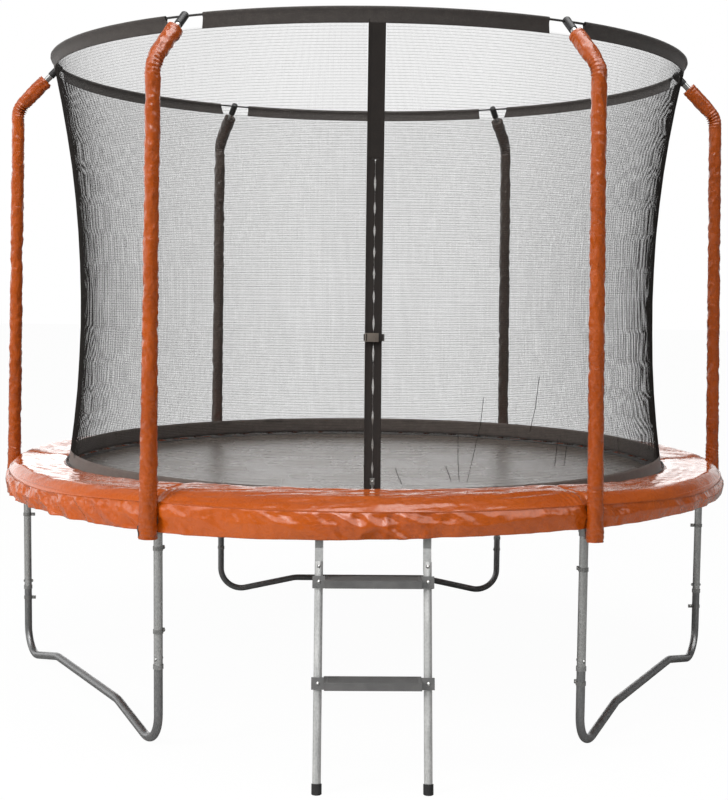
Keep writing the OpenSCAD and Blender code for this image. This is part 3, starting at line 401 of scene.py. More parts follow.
def repeat_round(name, finish):
    """A geometry tree that repeats a mesh round Z at even steps."""
    tree = bpy.data.node_groups.new(name, "GeometryNodeTree")
    tree.interface.new_socket("Mesh", in_out="INPUT", socket_type="NodeSocketGeometry")
    tree.interface.new_socket("Count", in_out="INPUT", socket_type="NodeSocketInt")
    tree.interface.new_socket("Start", in_out="INPUT", socket_type="NodeSocketFloat")
    tree.interface.new_socket("Step", in_out="INPUT", socket_type="NodeSocketFloat")
    tree.interface.new_socket("Mesh", in_out="OUTPUT", socket_type="NodeSocketGeometry")
    given = add(tree, "NodeGroupInput")
    spots = add(tree, "GeometryNodePoints", {"Count": given.outputs["Count"]})
    angle = add(tree, "ShaderNodeMath", {
        0: add(tree, "GeometryNodeInputIndex").outputs[0], 1: given.outputs["Step"],
        2: given.outputs["Start"]}, operation="MULTIPLY_ADD")
    turn = add(tree, "FunctionNodeEulerToRotation", {
        0: add(tree, "ShaderNodeCombineXYZ", {"Z": angle.outputs[0]}).outputs[0]})
    copies = add(tree, "GeometryNodeInstanceOnPoints", {
        "Points": spots.outputs[0], "Instance": given.outputs["Mesh"],
        "Rotation": turn.outputs[0]})
    real = add(tree, "GeometryNodeRealizeInstances", {0: copies.outputs[0]})
    done = add(tree, "GeometryNodeSetMaterial", {"Geometry": real.outputs[0],
                                                 "Material": finish})
    add(tree, "NodeGroupOutput", {0: done.outputs[0]})
    return tree


def grow(piece, tree, **sizes):
    """Runs a geometry tree on a piece with named sizes, and keeps the plain mesh."""
    modifier = piece.modifiers.new("growth", "NODES")
    modifier.node_group = tree
    for socket in tree.interface.items_tree:
        if socket.in_out == "INPUT" and socket.name in sizes:
            modifier[socket.identifier] = sizes[socket.name]
    graph = bpy.context.evaluated_depsgraph_get()
    mesh = bpy.data.meshes.new_from_object(piece.evaluated_get(graph), depsgraph=graph)
    piece.modifiers.clear()
    piece.data = mesh
    return piece


def close_ends(piece):
    """Closes a piece's open ends and turns every face outwards."""
    shell = bmesh.new()
    shell.from_mesh(piece.data)
    bmesh.ops.holes_fill(shell, edges=shell.edges)
    bmesh.ops.recalc_face_normals(shell, faces=shell.faces)
    shell.to_mesh(piece.data)
    shell.free()
    return piece


def bar(name, points, radius, finish, sides=6, flat=1.0):
    """A closed bar along a line of points, flattened across its width if flat is under 1."""
    points = np.asarray(points, float)
    forward = np.gradient(points, axis=0)
    forward /= np.linalg.norm(forward, axis=1, keepdims=True)
    side = np.cross(forward, (0, 0, 1))
    side[np.linalg.norm(side, axis=1) < 1e-4] = (0, 1, 0)
    side /= np.linalg.norm(side, axis=1, keepdims=True)
    over = np.cross(side, forward)
    turn = np.linspace(0, 2 * math.pi, sides, endpoint=False)
    ring = (points[:, None] + radius * np.cos(turn)[None, :, None] * side[:, None]
            + radius * flat * np.sin(turn)[None, :, None] * over[:, None])
    faces = grid_faces(len(points), sides, False, True)
    return close_ends(make_piece(name, ring, faces, finish))


black_webbing = ribbed_webbing("polyester_webbing_black", "#191716", "#3a3735", 3.5, 0.62)
border_profile = [(1.2552, 0.8733), (1.2552, 0.8748), (1.2562, 0.8753), (1.268, 0.8749),
                  (1.279, 0.8753), (1.290, 0.8749), (1.299, 0.8753), (1.3006, 0.8748),
                  (1.3009, 0.8716), (1.3001, 0.8702), (1.288, 0.8697), (1.258, 0.8702)]
mat_border = weld(make_piece(
    "mat_border_band", spin(border_profile, mat_turn),
    grid_faces(len(mat_turn), len(border_profile), True, True), black_webbing))
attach(mat_border, "mat")
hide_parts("mat_border")

# ---- Mat stitching
# Four rows of lockstitch in grey bonded polyester thread hold the border to the mat. Each
# stitch lies on the webbing like a short bar and dips into it at both ends.

thread = ribbed_webbing("polyester_thread_grey", "#55524f", "#8b8783", 2.0, 0.55)
# Stitches are drawn ten millimetres apart, because four would be too fine to show
stitch_pitch = 0.010
stitch_tree = repeat_round("stitches_round", thread)
for row, reach in enumerate((1.262, 1.273, 1.284, 1.295)):
    stitch = bar(f"mat_stitches_{row + 1}",
                 [(reach, y, 0.8753 + rise) for y, rise in
                  ((-0.0032, -0.0006), (-0.0016, 0.0004), (0.0016, 0.0004), (0.0032, -0.0006))],
                 0.0006, thread, 3)
    stitch_count = int(2 * math.pi * reach / stitch_pitch)
    grow(stitch, stitch_tree, Count=stitch_count, Start=0.0, Step=2 * math.pi / stitch_count)
    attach(stitch, "mat")

# ---- Ring loops
# A short loop of the same webbing, 25 mm wide, wraps the inner bar of each steel ring and
# is sewn in under the border, ten to a sixth of the way round.

first_spring, spring_step = math.radians(2.99958), math.radians(6)
loop_path = [(1.2700, 0.8692), (1.2862, 0.8690), (1.2886, 0.8675), (1.2880, 0.8652),
             (1.2858, 0.8644), (1.2700, 0.8676)]
loop_rows = np.array([[(r, y, z) for r, z in loop_path] for y in (-0.0125, 0.0125)])
ring_loop = make_piece("mat_ring_loops", loop_rows, grid_faces(*loop_rows.shape[:2], False, False),
                       black_webbing)
loop_wall = ring_loop.modifiers.new("webbing", "SOLIDIFY")
loop_wall.thickness = 0.0012
grow(ring_loop, repeat_round("loops_round", black_webbing), Count=60, Start=first_spring,
     Step=spring_step)
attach(ring_loop, "mat")

# ---- Springs
# Sixty extension springs of galvanised spring wire, close wound, with a hook at each
# end: one through a mat ring, the other down through a hole in the rail.

spring_wire = galvanised_steel("galvanised_spring_wire", "#8e8f90", "#c9c9c6", 0.22, 0.36)
coil_turns, coil_start, coil_end, coil_radius, wire_radius = 30, 1.3335, 1.4795, 0.0090, 0.0019
rail_height, points_to_a_turn = 0.868, 11
along = np.linspace(0, 1, coil_turns * points_to_a_turn + 1)
spiral = np.stack([coil_start + (coil_end - coil_start) * along,
                   coil_radius * np.sin(2 * math.pi * coil_turns * along),
                   rail_height + coil_radius * np.cos(2 * math.pi * coil_turns * along)], -1)
mat_hook = [(1.3262, 0.0, 0.8606), (1.3222, 0.0, 0.8622), (1.3202, 0.0, 0.8662),
            (1.3222, 0.0, 0.8706), (1.3272, 0.0, 0.8732), (1.3318, 0.0, 0.8762)]
rail_hook = [(1.4812, 0.0, 0.8762), (1.4846, 0.0, 0.8708), (1.4886, 0.0, 0.8686),
             (1.4940, 0.0, 0.8680), (1.4992, 0.0, 0.8676)]
spring_line = np.array(mat_hook + spiral.tolist() + rail_hook)
spring_tree = repeat_round("springs_round", spring_wire)
# Two springs at a time are one piece, which stretches between the mat and the frame
for pair in range(30):
    springs = bar(f"springs_{pair + 1:02d}", spring_line, wire_radius, spring_wire, 5)
    turned = first_spring + 2 * spring_step * pair
    grow(springs, spring_tree, Count=2, Start=turned, Step=spring_step)
    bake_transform(springs)
    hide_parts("springs")

# ---- Spring pad
# A ring of closed-cell foam in a welded cover of orange PVC on polyester scrim. Six
# lengths are sewn end to end at the poles, and the smooth film creases wherever the cover
# is pulled in.


def coated_pvc(name, deep, bright, rough, crease, depth):
    """Plastisol film on scrim: a wet-looking skin over fine sharp creases. It fades over
    220 mm and is scuffed every 38 mm. Crease is the number of creases to a metre along
    each axis."""
    material, tree, shader = blank_finish(name)
    place = add(tree, "ShaderNodeTexCoord").outputs["Object"]
    fade = add(tree, "ShaderNodeTexNoise", {"Vector": place, "Scale": 4.5, "Detail": 5})
    tint = add(tree, "ShaderNodeMix", {0: fade.outputs["Fac"], 6: srgb(deep), 7: srgb(bright)},
               data_type="RGBA")
    tree.links.new(tint.outputs[2], shader.inputs["Base Color"])
    scuffs = add(tree, "ShaderNodeTexNoise", {"Vector": place, "Scale": 26, "Detail": 6,
                                              "Distortion": 0.6})
    gloss = add(tree, "ShaderNodeMapRange", {0: scuffs.outputs["Fac"], 1: 0.3, 2: 0.7,
                                             3: rough - 0.08, 4: rough + 0.12})
    tree.links.new(gloss.outputs[0], shader.inputs["Roughness"])
    shader.inputs["Specular IOR Level"].default_value = 0.25
    shader.inputs["Coat Weight"].default_value = 0.8
    shader.inputs["Coat Roughness"].default_value = 0.12
    # Scrim threads a millimetre apart are too fine to show, so the bump has them at three
    scrim = add(tree, "ShaderNodeTexVoronoi", {"Vector": place, "Scale": 330})
    creases = add(tree, "ShaderNodeTexNoise", {
        "Vector": add(tree, "ShaderNodeMapping", {0: place, 2: (0, 0, 0.6), 3: crease}
                      ).outputs[0], "Scale": 1, "Detail": 5, "Roughness": 0.6,
        "Distortion": 1.1})
    ridge = add(tree, "ShaderNodeMath", {0: creases.outputs["Fac"], 1: 0.5},
                operation="SUBTRACT")
    ridge = add(tree, "ShaderNodeMath", {0: ridge.outputs[0]}, operation="ABSOLUTE")
    height = add(tree, "ShaderNodeMix", {0: 0.97, 2: scrim.outputs["Distance"],
                                         3: ridge.outputs[0]})
    relief = add(tree, "ShaderNodeBump", {"Strength": 0.6, "Distance": depth,
                                          "Height": height.outputs[0]})
    tree.links.new(relief.outputs[0], shader.inputs["Normal"])
    return material


def ripple(points, scale, seed):
    """Smooth noise from -1 to 1 at points in metres, with features 1/scale metres wide."""
    p = np.asarray(points, float) * scale + np.array((seed * 17.3, seed * 5.9, seed * 11.1))
    low = np.floor(p).astype(np.int64)
    part = p - low
    ease = part * part * part * (part * (part * 6 - 15) + 10)
    total = np.zeros(p.shape[:-1])
    for corner in range(8):
        step = np.array((corner & 1, corner >> 1 & 1, corner >> 2 & 1))
        cell = low + step
        hashed = (cell[..., 0] * 374761393 + cell[..., 1] * 668265263 + cell[..., 2] * 2147483647
                  + seed * 974711) & 0xFFFFFFFF
        hashed = ((hashed ^ (hashed >> 13)) * 1274126177) & 0xFFFFFFFF
        hashed = hashed ^ (hashed >> 16)
        slope = np.stack([(hashed & 1023) / 511.5 - 1, (hashed >> 10 & 1023) / 511.5 - 1,
                          (hashed >> 20 & 1023) / 511.5 - 1], -1)
        weight = np.prod(np.where(step, ease, 1 - ease), -1)
        total += weight * np.sum(slope * (part - step), -1)
    return total * 1.3


def crumple(points, scale, seed):
    """Sharp creases between flat facets, as in bent film. From 0 to about 1."""
    return (1 - np.abs(ripple(points, scale, seed)) * 1.6
            - 0.5 * np.abs(ripple(points, scale * 2.1, seed + 7)))


def turn_apart(angle, other):
    """Signed difference of two angles, in radians."""
    return (angle - other + math.pi) % (2 * math.pi) - math.pi


def beside_pole(angle):
    """Distance in metres, along the rim, to the nearest of the six poles."""
    return np.abs(turn_apart(angle * 6, 0)) / 6 * pad_out


def sag_of(angle):
    """How far the pad's outer rim hangs below the rail's top at an angle: most at the sides,
    least between the two front poles."""
    side_on = np.abs(np.cos(angle))
    return 0.004 + 0.026 * np.clip((side_on - 0.45) / 0.35, 0, 1) ** 1.3 * np.clip(
        0.75 - np.sin(angle) * 0.5, 0, 1)


pad_vinyl = coated_pvc("coated_pvc_pad", "#9c3f08", "#b75710", 0.26, (13, 13, 24), 0.004)
pad_in, pad_out, pad_floor, rim_fold = 1.309, 1.547, 0.8876, 0.9046
pad_middle, pad_half = (pad_in + pad_out) / 2, (pad_out - pad_in) / 2
pad_steps = 1440
pad_angle = np.linspace(0, 2 * math.pi, pad_steps, endpoint=False)
# Where each point lies across the pad, from -1 at its inner rim to 1 at its outer rim
lie = np.concatenate([np.linspace(-1, -0.9, 5)[:-1], np.linspace(-0.9, 0.9, 30)[:-1],
                      np.linspace(0.9, 1, 7)])
# The foam is crowned in front and lies flat at the sides
flatness = np.clip((np.abs(np.cos(pad_angle))[:, None] - 0.45) / 0.27, 0, 1) * (
    np.sin(pad_angle)[:, None] < 0.6)
hump = (0.0405 - 0.016 * flatness) * (
    1 - np.abs(lie) ** np.where(lie < 0, 7, 1.7 + 4.3 * flatness))
top = np.stack([pad_middle + pad_half * lie + 0 * hump, rim_fold + hump], -1)
under = np.array([(1.5465, 0.9010), (1.5450, 0.8950), (1.5405, 0.8890), (1.5300, pad_floor),
                  (1.4800, pad_floor), (1.4100, pad_floor), (1.3500, pad_floor),
                  (1.3180, pad_floor), (1.3115, 0.8890), (1.3092, 0.8950), (1.3088, 0.9010)])
pad_profile = np.concatenate([top, np.broadcast_to(under, (pad_steps,) + under.shape)], 1)
pad_points = spin(pad_profile, pad_angle)
away = np.stack([np.cos(pad_angle), np.sin(pad_angle), 0 * pad_angle], -1)[:, None]
across_pad = np.concatenate([lie, np.linspace(1, -1, len(under))])[None]
on_top = np.concatenate([np.ones(len(lie)), np.zeros(len(under))])[None]
from_pole = beside_pole(pad_angle)[:, None]
# Metres round the pad, measured along its middle
reach_round = pad_angle[:, None] * 1.43
# The inner rim stands high in front, and the outer one sags between the front poles and
# the sides
facing_front = np.clip(-np.sin(pad_angle), 0, 1)[:, None]
sag = sag_of(pad_angle)[:, None]
high_in = 0.012 * facing_front ** 2 - 0.022 * (1 - facing_front) ** 2
part_out = (across_pad + 1) / 2
settle = (high_in * (1 - part_out) - 0.013 * part_out * (1 - np.clip(part_out, 0.8, 1) * 0.9)
          - 0.010 * np.sin(part_out * math.pi))
rolled = np.clip((across_pad - 0.55) / 0.45, 0, 1) ** 1.6
# Creases run aslant across the top, long and nearly level, closer together by the poles
slant = np.stack([(reach_round + 0.16 * across_pad) * np.ones_like(across_pad),
                  0.62 * across_pad + 0.55 * reach_round, 0 * across_pad + 0 * reach_round], -1)
slant_back = slant * (1, -1, 1) + (0, 0, 3)
lift = (0.0026 * ripple(pad_points, 3.2, 1) + 0.0030 * (crumple(slant, 5, 2) - 0.6)
        + 0.0022 * (crumple(slant_back, 9, 3) - 0.6) + 0.0009 * (crumple(
            slant + (0, 0, 7), 21, 8) - 0.6) + 0.0004 * ripple(pad_points, 60, 4))
# By the poles the cover is gathered in tucks 21 mm apart
gathered = np.exp(-(from_pole / 0.085) ** 2)
tucks = np.sin(reach_round * 2 * math.pi / 0.021 + 4 * ripple(pad_points, 12, 5))
lift = lift + 0.0024 * gathered * tucks * np.clip(0.35 + 0.65 * across_pad, 0, 1)
# A sewn seam crosses the pad at each pole
lift = (lift - 0.0046 * np.exp(-(from_pole / 0.007) ** 2)
        - 0.0022 * np.exp(-(from_pole / 0.03) ** 2))
lift = lift * on_top * np.clip((1 - np.abs(across_pad)) * 9, 0.15, 1)
pad_points[..., 2] += lift + settle * on_top - sag * rolled
# The rim is drawn in to pass each sleeve
bite = 0.0170 * np.exp(-(from_pole / 0.030) ** 4) * np.clip(
    (across_pad - 0.2) / 0.8, 0, 1) ** 1.5
wander = 0.0012 * ripple(pad_points, 9, 6) * np.clip(np.abs(across_pad) * 3 - 2, 0, 1)
pad_points += away * (wander - bite)[..., None]
spring_pad = weld(make_piece("spring_pad", pad_points, grid_faces(
    pad_steps, pad_profile.shape[1], True, True), pad_vinyl), 60)
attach(spring_pad, "frame")
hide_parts("pad_cover", "pad_foam")

# ---- Pad binding
# A narrow black webbing, folded over the cover's inner rim and sewn through, so the two
# halves of the cover meet in a rounded edge beside the net.

binding = weld(make_piece("pad_binding", spin(
    [(1.3082 + 0.0034 * math.cos(a), 0.9040 + 0.0038 * math.sin(a))
     for a in np.linspace(0, 2 * math.pi, 8, endpoint=False)],
    np.linspace(0, 2 * math.pi, 360, endpoint=False)), grid_faces(360, 8, True, True),
    black_webbing))
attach(binding, "frame")

# ---- Skirt
# The cover's outer wall hangs loose over the rail and the spring ends. It is one layer
# of the same PVC with a turned hem, cut free at each pole, and it creases like paper.

skirt_vinyl = coated_pvc("coated_pvc_skirt", "#9c3f08", "#b75710", 0.24, (13, 13, 24), 0.009)
skirt_sheets = []
skirt_columns, skirt_rows = 310, 26
skirt_down = np.linspace(0, 1, skirt_rows)
skirt_top, skirt_foot = 0.9040, 0.7866
skirt_reach, skirt_swing = 1.5465, 0.0175
slit_half = math.radians(0.80)
for k in range(6):
    turn = np.linspace(math.radians(60 * k) + slit_half, math.radians(60 * k + 60) - slit_half,
                       skirt_columns)
    down = skirt_down[None] * np.ones((skirt_columns, 1))
    # The hem is drawn up most in front and towards the right
    drawn_up = 0.004 + 0.022 * np.exp(-(turn_apart(turn, math.radians(-48)) / 0.85) ** 4)
    rim_height = skirt_top - sag_of(turn)
    height = rim_height[:, None] - (rim_height - skirt_foot - drawn_up)[:, None] * down
    # The cloth laid flat: metres along it, none through it, and height
    flat_cloth = np.stack([turn[:, None] * 1.55 + 0 * down, 0 * down, height], -1)
    pole_gap = beside_pole(turn)[:, None]
    # How crushed the cloth is: most by the poles, on the left and right under the entrance
    under_entry = turn_apart(turn, math.radians(-88))[:, None] / 0.11
    on_left = turn_apart(turn, math.radians(-152))[:, None] / 0.48
    crush = (0.38 + 0.50 * np.exp(-(pole_gap / 0.14) ** 2) + 0.75 * np.exp(-under_entry ** 2)
             + 0.65 * np.exp(-on_left ** 4))
    # Facets lie aslant, as the hem is pulled along the rail
    aslant = flat_cloth + np.stack([0.9 * height, 0 * height, 0 * height], -1)
    bend = (crumple(aslant, 7.0, 12) - 0.55) * 0.0270 + (crumple(flat_cloth, 14, 13)
                                                         - 0.55) * 0.0100
    fine = (crumple(flat_cloth * (1, 1, 0.45), 34, 14) - 0.55) * 0.0018
    # The upper half leans out to a wavy ridge, and the lower half falls back under it
    fold_at = np.clip(0.46 + 0.26 * ripple(flat_cloth * (1, 0, 0), 3.6, 15)
                      + 0.06 * ripple(flat_cloth * (1, 0, 0), 13, 19), 0.2, 0.8)
    fold = 0.0190 * np.minimum(down / fold_at, (1 - down) / (1 - fold_at)) * (
        0.75 + 0.25 * ripple(flat_cloth * (1, 0, 0), 1.3, 16)) - 0.005
    pinch = np.exp(-(pole_gap / 0.045) ** 2)
    pleats = 0.0028 * pinch * np.sin(turn[:, None] * 1.55 * 2 * math.pi / 0.013
                                     + 9 * down + 3 * ripple(flat_cloth, 14, 17))
    hang = np.clip(down * 5, 0, 1)
    reach = (1.5468 + 0.0032 * down + hang * (crush * (bend + fine) + fold + pleats)
             - 0.0125 * np.exp(-(pole_gap / 0.034) ** 2)
             - 0.0045 * np.exp(-(down / 0.06) ** 2))
    # The cloth never swings further out or in than this
    reach = skirt_reach + skirt_swing * np.tanh((reach - skirt_reach) / skirt_swing)
    height = height + 0.0022 * down * ripple(flat_cloth * (1, 0, 0), 6, 18)
    skirt_sheets.append(np.stack([reach * np.cos(turn)[:, None], reach * np.sin(turn)[:, None],
                                  height], -1))


def side_by_side(lengths, around, closed, turned=False):
    """Points and faces of several like grids of points, as one mesh."""
    rows, columns = lengths[0].shape[:2]
    faces = grid_faces(rows, columns, around, closed, turned)
    return (np.concatenate([length.reshape(-1, 3) for length in lengths]),
            np.concatenate([faces + rows * columns * k for k in range(len(lengths))]))


skirt = make_piece("pad_skirt", *side_by_side(skirt_sheets, False, False, True), skirt_vinyl)
cloth = skirt.modifiers.new("cloth", "SOLIDIFY")
cloth.thickness = 0.0011
cloth.offset = -1
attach(skirt, "frame")
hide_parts("pad_cover")

# ---- Pad ties
# Braided elastic cords, 3 mm thick, tie the pad down round the rail, two between each pair
# of legs. They are rubber strands in a black polyester braid.

elastic = ribbed_webbing("braided_elastic_cord", "#161514", "#4a4744", 2.0, 0.6)
tie_turn = np.linspace(0, 2 * math.pi, 28, endpoint=False)
rail_reach, tie_radius = 1.509, 0.0180
tie_path = np.stack([rail_reach + tie_radius * np.cos(tie_turn), 0.0010 * np.sin(3 * tie_turn),
                     rail_height + tie_radius * np.sin(tie_turn)], -1)
tie_ring = np.concatenate([tie_path[-1:], tie_path, tie_path[:2]])
tie_tree = repeat_round("ties_round", elastic)
for name, start in (("pad_ties", 40), ("pad_ties_first", 20)):
    tie = grow(bar(name, tie_ring, 0.0014, elastic, 6), tie_tree, Count=6,
               Start=math.radians(start), Step=math.radians(60))
    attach(tie, "frame")
    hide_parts("pad_cords")

# The loose end of a tie hangs out under the skirt beside the left front pole
tie_end = bar("pad_tie_end", [(-0.8150, -1.3640, 0.8150), (-0.8158, -1.3660, 0.8000),
                              (-0.8156, -1.3665, 0.7860), (-0.8145, -1.3655, 0.7720)],
              0.0042, black_webbing, 8, 0.25)
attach(tie_end, "frame")

# ---- Poles and their sleeves
# Six bent steel tubes carry the ring. Each wears a foam tube in a slack orange PVC
# sleeve, which is cut long, so it puckers all the way up and gathers in rings at the bend.

pole_foot, pole_low, pole_bend_z = 1.565, 0.768, 2.420
lean, arm_lean, bend_r = math.radians(1.2), math.radians(45), 0.090
bend_turn = arm_lean - lean
tangent = bend_r * math.tan(bend_turn / 2)


def along_pole(length):
    """Places (reach, height) and leans of points that lie these lengths up a pole's line."""
    foot = pole_foot - (pole_low - rail_height) * math.tan(lean)
    straight = (pole_bend_z - pole_low) / math.cos(lean) - tangent
    run = np.clip(length, None, straight)
    turn = np.clip((length - straight) / bend_r, 0, bend_turn)
    rest = np.clip(length - straight - bend_r * bend_turn, 0, None)
    reach = (foot - run * math.sin(lean)
             - bend_r * (np.cos(lean) - np.cos(lean + turn)) - rest * math.sin(arm_lean))
    height = (pole_low + run * math.cos(lean)
              + bend_r * (np.sin(lean + turn) - math.sin(lean)) + rest * math.cos(arm_lean))
    return reach, height, lean + turn, straight


arm_length, cap_grip = 0.252, 0.078
sleeve_length = ((pole_bend_z - pole_low) / math.cos(lean) - 2 * tangent + bend_r * bend_turn
                 + arm_length - cap_grip)
sleeve_radius, sleeve_sides = 0.027, 44
sleeve_vinyl = coated_pvc("coated_pvc_sleeve", "#843506", "#a84c0c", 0.25, (40, 40, 22), 0.011)
# Painted shade: the two sleeves at the back have the same orange cover, painted a dark grey-brown
# for the shade they stand in behind the net
painted_shade_sleeve_vinyl = coated_pvc("coated_pvc_sleeve_back_painted_shade", "#382e29", "#5c514a", 0.34, (40, 40, 22),
                          0.008)
# Extruded foam is matt and off-white. Its cells are drawn 2.4 mm wide, because one would
# be too fine to show
sleeve_foam_white, foam_tree, foam_shader = blank_finish("polyethylene_foam")
cells = add(foam_tree, "ShaderNodeTexVoronoi", {
    "Vector": add(foam_tree, "ShaderNodeTexCoord").outputs["Object"], "Scale": 420})
foam_tint = add(foam_tree, "ShaderNodeMix", {0: cells.outputs["Distance"], 6: srgb("#cfcfca"),
                                             7: srgb("#f0f0ec")}, data_type="RGBA")
foam_tree.links.new(foam_tint.outputs[2], foam_shader.inputs["Base Color"])
foam_shader.inputs["Roughness"].default_value = 0.85
foam_pits = add(foam_tree, "ShaderNodeBump", {"Strength": 0.5, "Distance": 0.001,
                                              "Height": cells.outputs["Distance"]})
foam_tree.links.new(foam_pits.outputs[0], foam_shader.inputs["Normal"])

# The rows lie closer where the sleeve gathers at the bend
gather_from = 1.58
sleeve_rows = np.concatenate([np.linspace(0, gather_from, 300)[:-1],
                              np.linspace(gather_from, sleeve_length, 120)])
sleeve_turn = np.linspace(0, 2 * math.pi, sleeve_sides, endpoint=False)
foam_ends = []
for k in range(6):
    reach, height, tilt, straight = along_pole(sleeve_rows)
    out = np.stack([np.cos(tilt), 0 * tilt, np.sin(tilt)], -1)
    side = np.array((0.0, 1.0, 0.0))
    spoke = (np.cos(sleeve_turn)[None, :, None] * out[:, None]
             + np.sin(sleeve_turn)[None, :, None] * side)
    line = np.stack([reach, 0 * reach, height], -1)[:, None]
    # The left front sleeve bags out over the pad, and the others only at their hems
    bag, bag_up = (0.0055, 0.42) if k == 4 else (0.0035, 0.16)
    girth = sleeve_radius + bag * np.exp(-(sleeve_rows / bag_up) ** 2)
    skin = line + girth[:, None, None] * spoke
    up = sleeve_rows[:, None] + 0 * sleeve_turn[None]
    # Creases run aslant round the tube, and each sleeve has its own
    wound = np.stack([np.cos(sleeve_turn)[None] * sleeve_radius + 0 * up,
                      np.sin(sleeve_turn)[None] * sleeve_radius + 0 * up, up * 0.55], -1)
    twisted = wound + np.stack([0 * up, 0.35 * up, 0 * up], -1)
    puff = (0.0034 * (crumple(wound, 24, 30 + k) - 0.6) + 0.0030 * (crumple(
        twisted, 42, 40 + k) - 0.6) + 0.0012 * ripple(wound, 90, 50 + k))
    # Gathers: five rings on the inside of the bend, and shorter ones by the pad and the cap
    at_bend = np.exp(-((up - straight - 0.034) / 0.030) ** 2)
    inner = np.clip(0.55 - 0.45 * np.cos(sleeve_turn)[None], 0, 1)
    rings = 0.0052 * at_bend * inner * np.sin((up - straight) * 2 * math.pi / 0.0135
                                               + 0.6 * np.sin(sleeve_turn)[None])
    by_ends = np.exp(-(up / 0.05) ** 2) + np.exp(-((up - sleeve_length) / 0.03) ** 2)
    by_pad = np.exp(-((up - 0.17) / 0.045) ** 2)
    cuffs = 0.0011 * (by_ends + by_pad) * np.sin(up * 2 * math.pi / 0.016
                                                  + 5 * ripple(wound, 20, 60 + k))
    arm = 0.0030 * np.clip((up - straight - 0.05) / 0.04, 0, 1)
    skin = skin + spoke * (puff + rings + cuffs + arm)[..., None]
    # Both ends turn in to the tube
    lip_low = line[:1] + (0.0150 * spoke[:1]) + (0, 0, 0.003)
    lip_low_out = line[:1] + (girth[0] - 0.0015) * spoke[:1]
    lip_high = line[-1:] + 0.0135 * spoke[-1:]
    lip_high_out = line[-1:] + 0.0262 * spoke[-1:]
    points = np.concatenate([lip_low, lip_low_out, skin, lip_high_out, lip_high])
    angle = math.radians(60 * k)
    spun = np.array(((math.cos(angle), math.sin(angle), 0),
                     (-math.sin(angle), math.cos(angle), 0), (0, 0, 1)))
    sleeve = weld(make_piece(f"pole_sleeve_{k + 1}", points @ spun, grid_faces(
        len(points), sleeve_sides, False, True),
        painted_shade_sleeve_vinyl if k in (1, 2) else sleeve_vinyl), 70)
    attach(sleeve, "frame")
    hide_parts(f"sleeve_{k + 1}")
    lip = [line[0] + f * spoke[0] + (0, 0, z) for f, z in
           ((0.0130, 0.0015), (0.0230, 0.0015), (0.0240, 0.0035), (0.0240, 0.030),
            (0.0130, 0.030))]
    foam_ends.append(np.array(lip) @ spun)
# Only the foam's foot shows, below each sleeve's hem
pole_padding = weld(make_piece("pole_padding", *side_by_side(foam_ends, True, True),
                               sleeve_foam_white))
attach(pole_padding, "frame")
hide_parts("pole_foam")

# ---- Pole caps and spacers
# Caps of black polypropylene close the poles and grip the ring, and saddle-ended spacers
# keep each pole off its T-socket. Both are injection moulded and bolted or pushed on.


def moulded_plastic(name, dark, pale, rough):
    """Injection-moulded plastic has a spark-eroded grain, drawn a millimetre wide because the
    real one is too fine to show, and a waxy shine that is rubbed in patches 45 mm wide."""
    material, tree, shader = blank_finish(name)
    place = add(tree, "ShaderNodeTexCoord").outputs["Object"]
    grain = add(tree, "ShaderNodeTexNoise", {"Vector": place, "Scale": 900, "Detail": 3})
    rub = add(tree, "ShaderNodeTexNoise", {"Vector": place, "Scale": 22, "Detail": 5})
    tint = add(tree, "ShaderNodeMix", {0: rub.outputs["Fac"], 6: srgb(dark), 7: srgb(pale)},
               data_type="RGBA")
    tree.links.new(tint.outputs[2], shader.inputs["Base Color"])
    gloss = add(tree, "ShaderNodeMapRange", {0: rub.outputs["Fac"], 3: rough - 0.08,
                                             4: rough + 0.1})
    tree.links.new(gloss.outputs[0], shader.inputs["Roughness"])
    relief = add(tree, "ShaderNodeBump", {"Strength": 0.25, "Distance": 0.0003,
                                          "Height": grain.outputs["Fac"]})
    tree.links.new(relief.outputs[0], shader.inputs["Normal"])
    return material


black_moulding = moulded_plastic("moulded_polypropylene_black", "#121212", "#262525", 0.42)
dress(black_moulding, "pole_caps", "pole_spacers")

# ---- Ring
# Six pultruded glass-fibre rods, slid through the pole caps and the net's upper band.
# The resin is black, with the glass strands just showing lengthwise.

glass_fibre_rod, rod_tree, rod_shader = blank_finish("glass_fibre_rod")
rod_place = add(rod_tree, "ShaderNodeTexCoord").outputs["Object"]
strands = add(rod_tree, "ShaderNodeTexNoise", {
    "Vector": add(rod_tree, "ShaderNodeMapping", {0: rod_place, 3: (40, 40, 700)}).outputs[0],
    "Scale": 1, "Detail": 4})
rod_tint = add(rod_tree, "ShaderNodeMix", {0: strands.outputs["Fac"], 6: srgb("#0f0f0f"),
                                           7: srgb("#353433")}, data_type="RGBA")
rod_tree.links.new(rod_tint.outputs[2], rod_shader.inputs["Base Color"])
rod_shader.inputs["Roughness"].default_value = 0.3
dress(glass_fibre_rod, "ring_rods")

# ---- Upper net band
# A band of black woven polyester edges the net at the top. It is folded into a pocket for
# the ring's rods, sewn through below it, and cut short on both sides of each pole.

waist, waist_z, net_bow = 1.244, 1.600, 4.57188
ring_reach, ring_height = 1.3543, 2.59819


def net_reach(height):
    """How far the net stands from the middle at a height."""
    return waist + net_bow - np.sqrt(net_bow ** 2 - (height - waist_z) ** 2)


band_fabric = ribbed_webbing("woven_polyester_band", "#2a2624", "#524d49", 3.0, 0.7)
pocket = 0.0078
band_fold = [(0.0012, -0.0462), (-0.0013, -0.0466), (-0.0018, -0.0430), (-0.0012, -0.0260),
             (-0.0016, -0.0110), (-0.0045, -0.0065)]
band_fold += [(-pocket * math.cos(a), pocket * math.sin(a)) for a in np.linspace(-0.35, 3.5, 13)]
band_fold += [(0.0045, -0.0065), (0.0016, -0.0110), (0.0012, -0.0260), (0.0018, -0.0430)]
band_fold = np.array(band_fold)
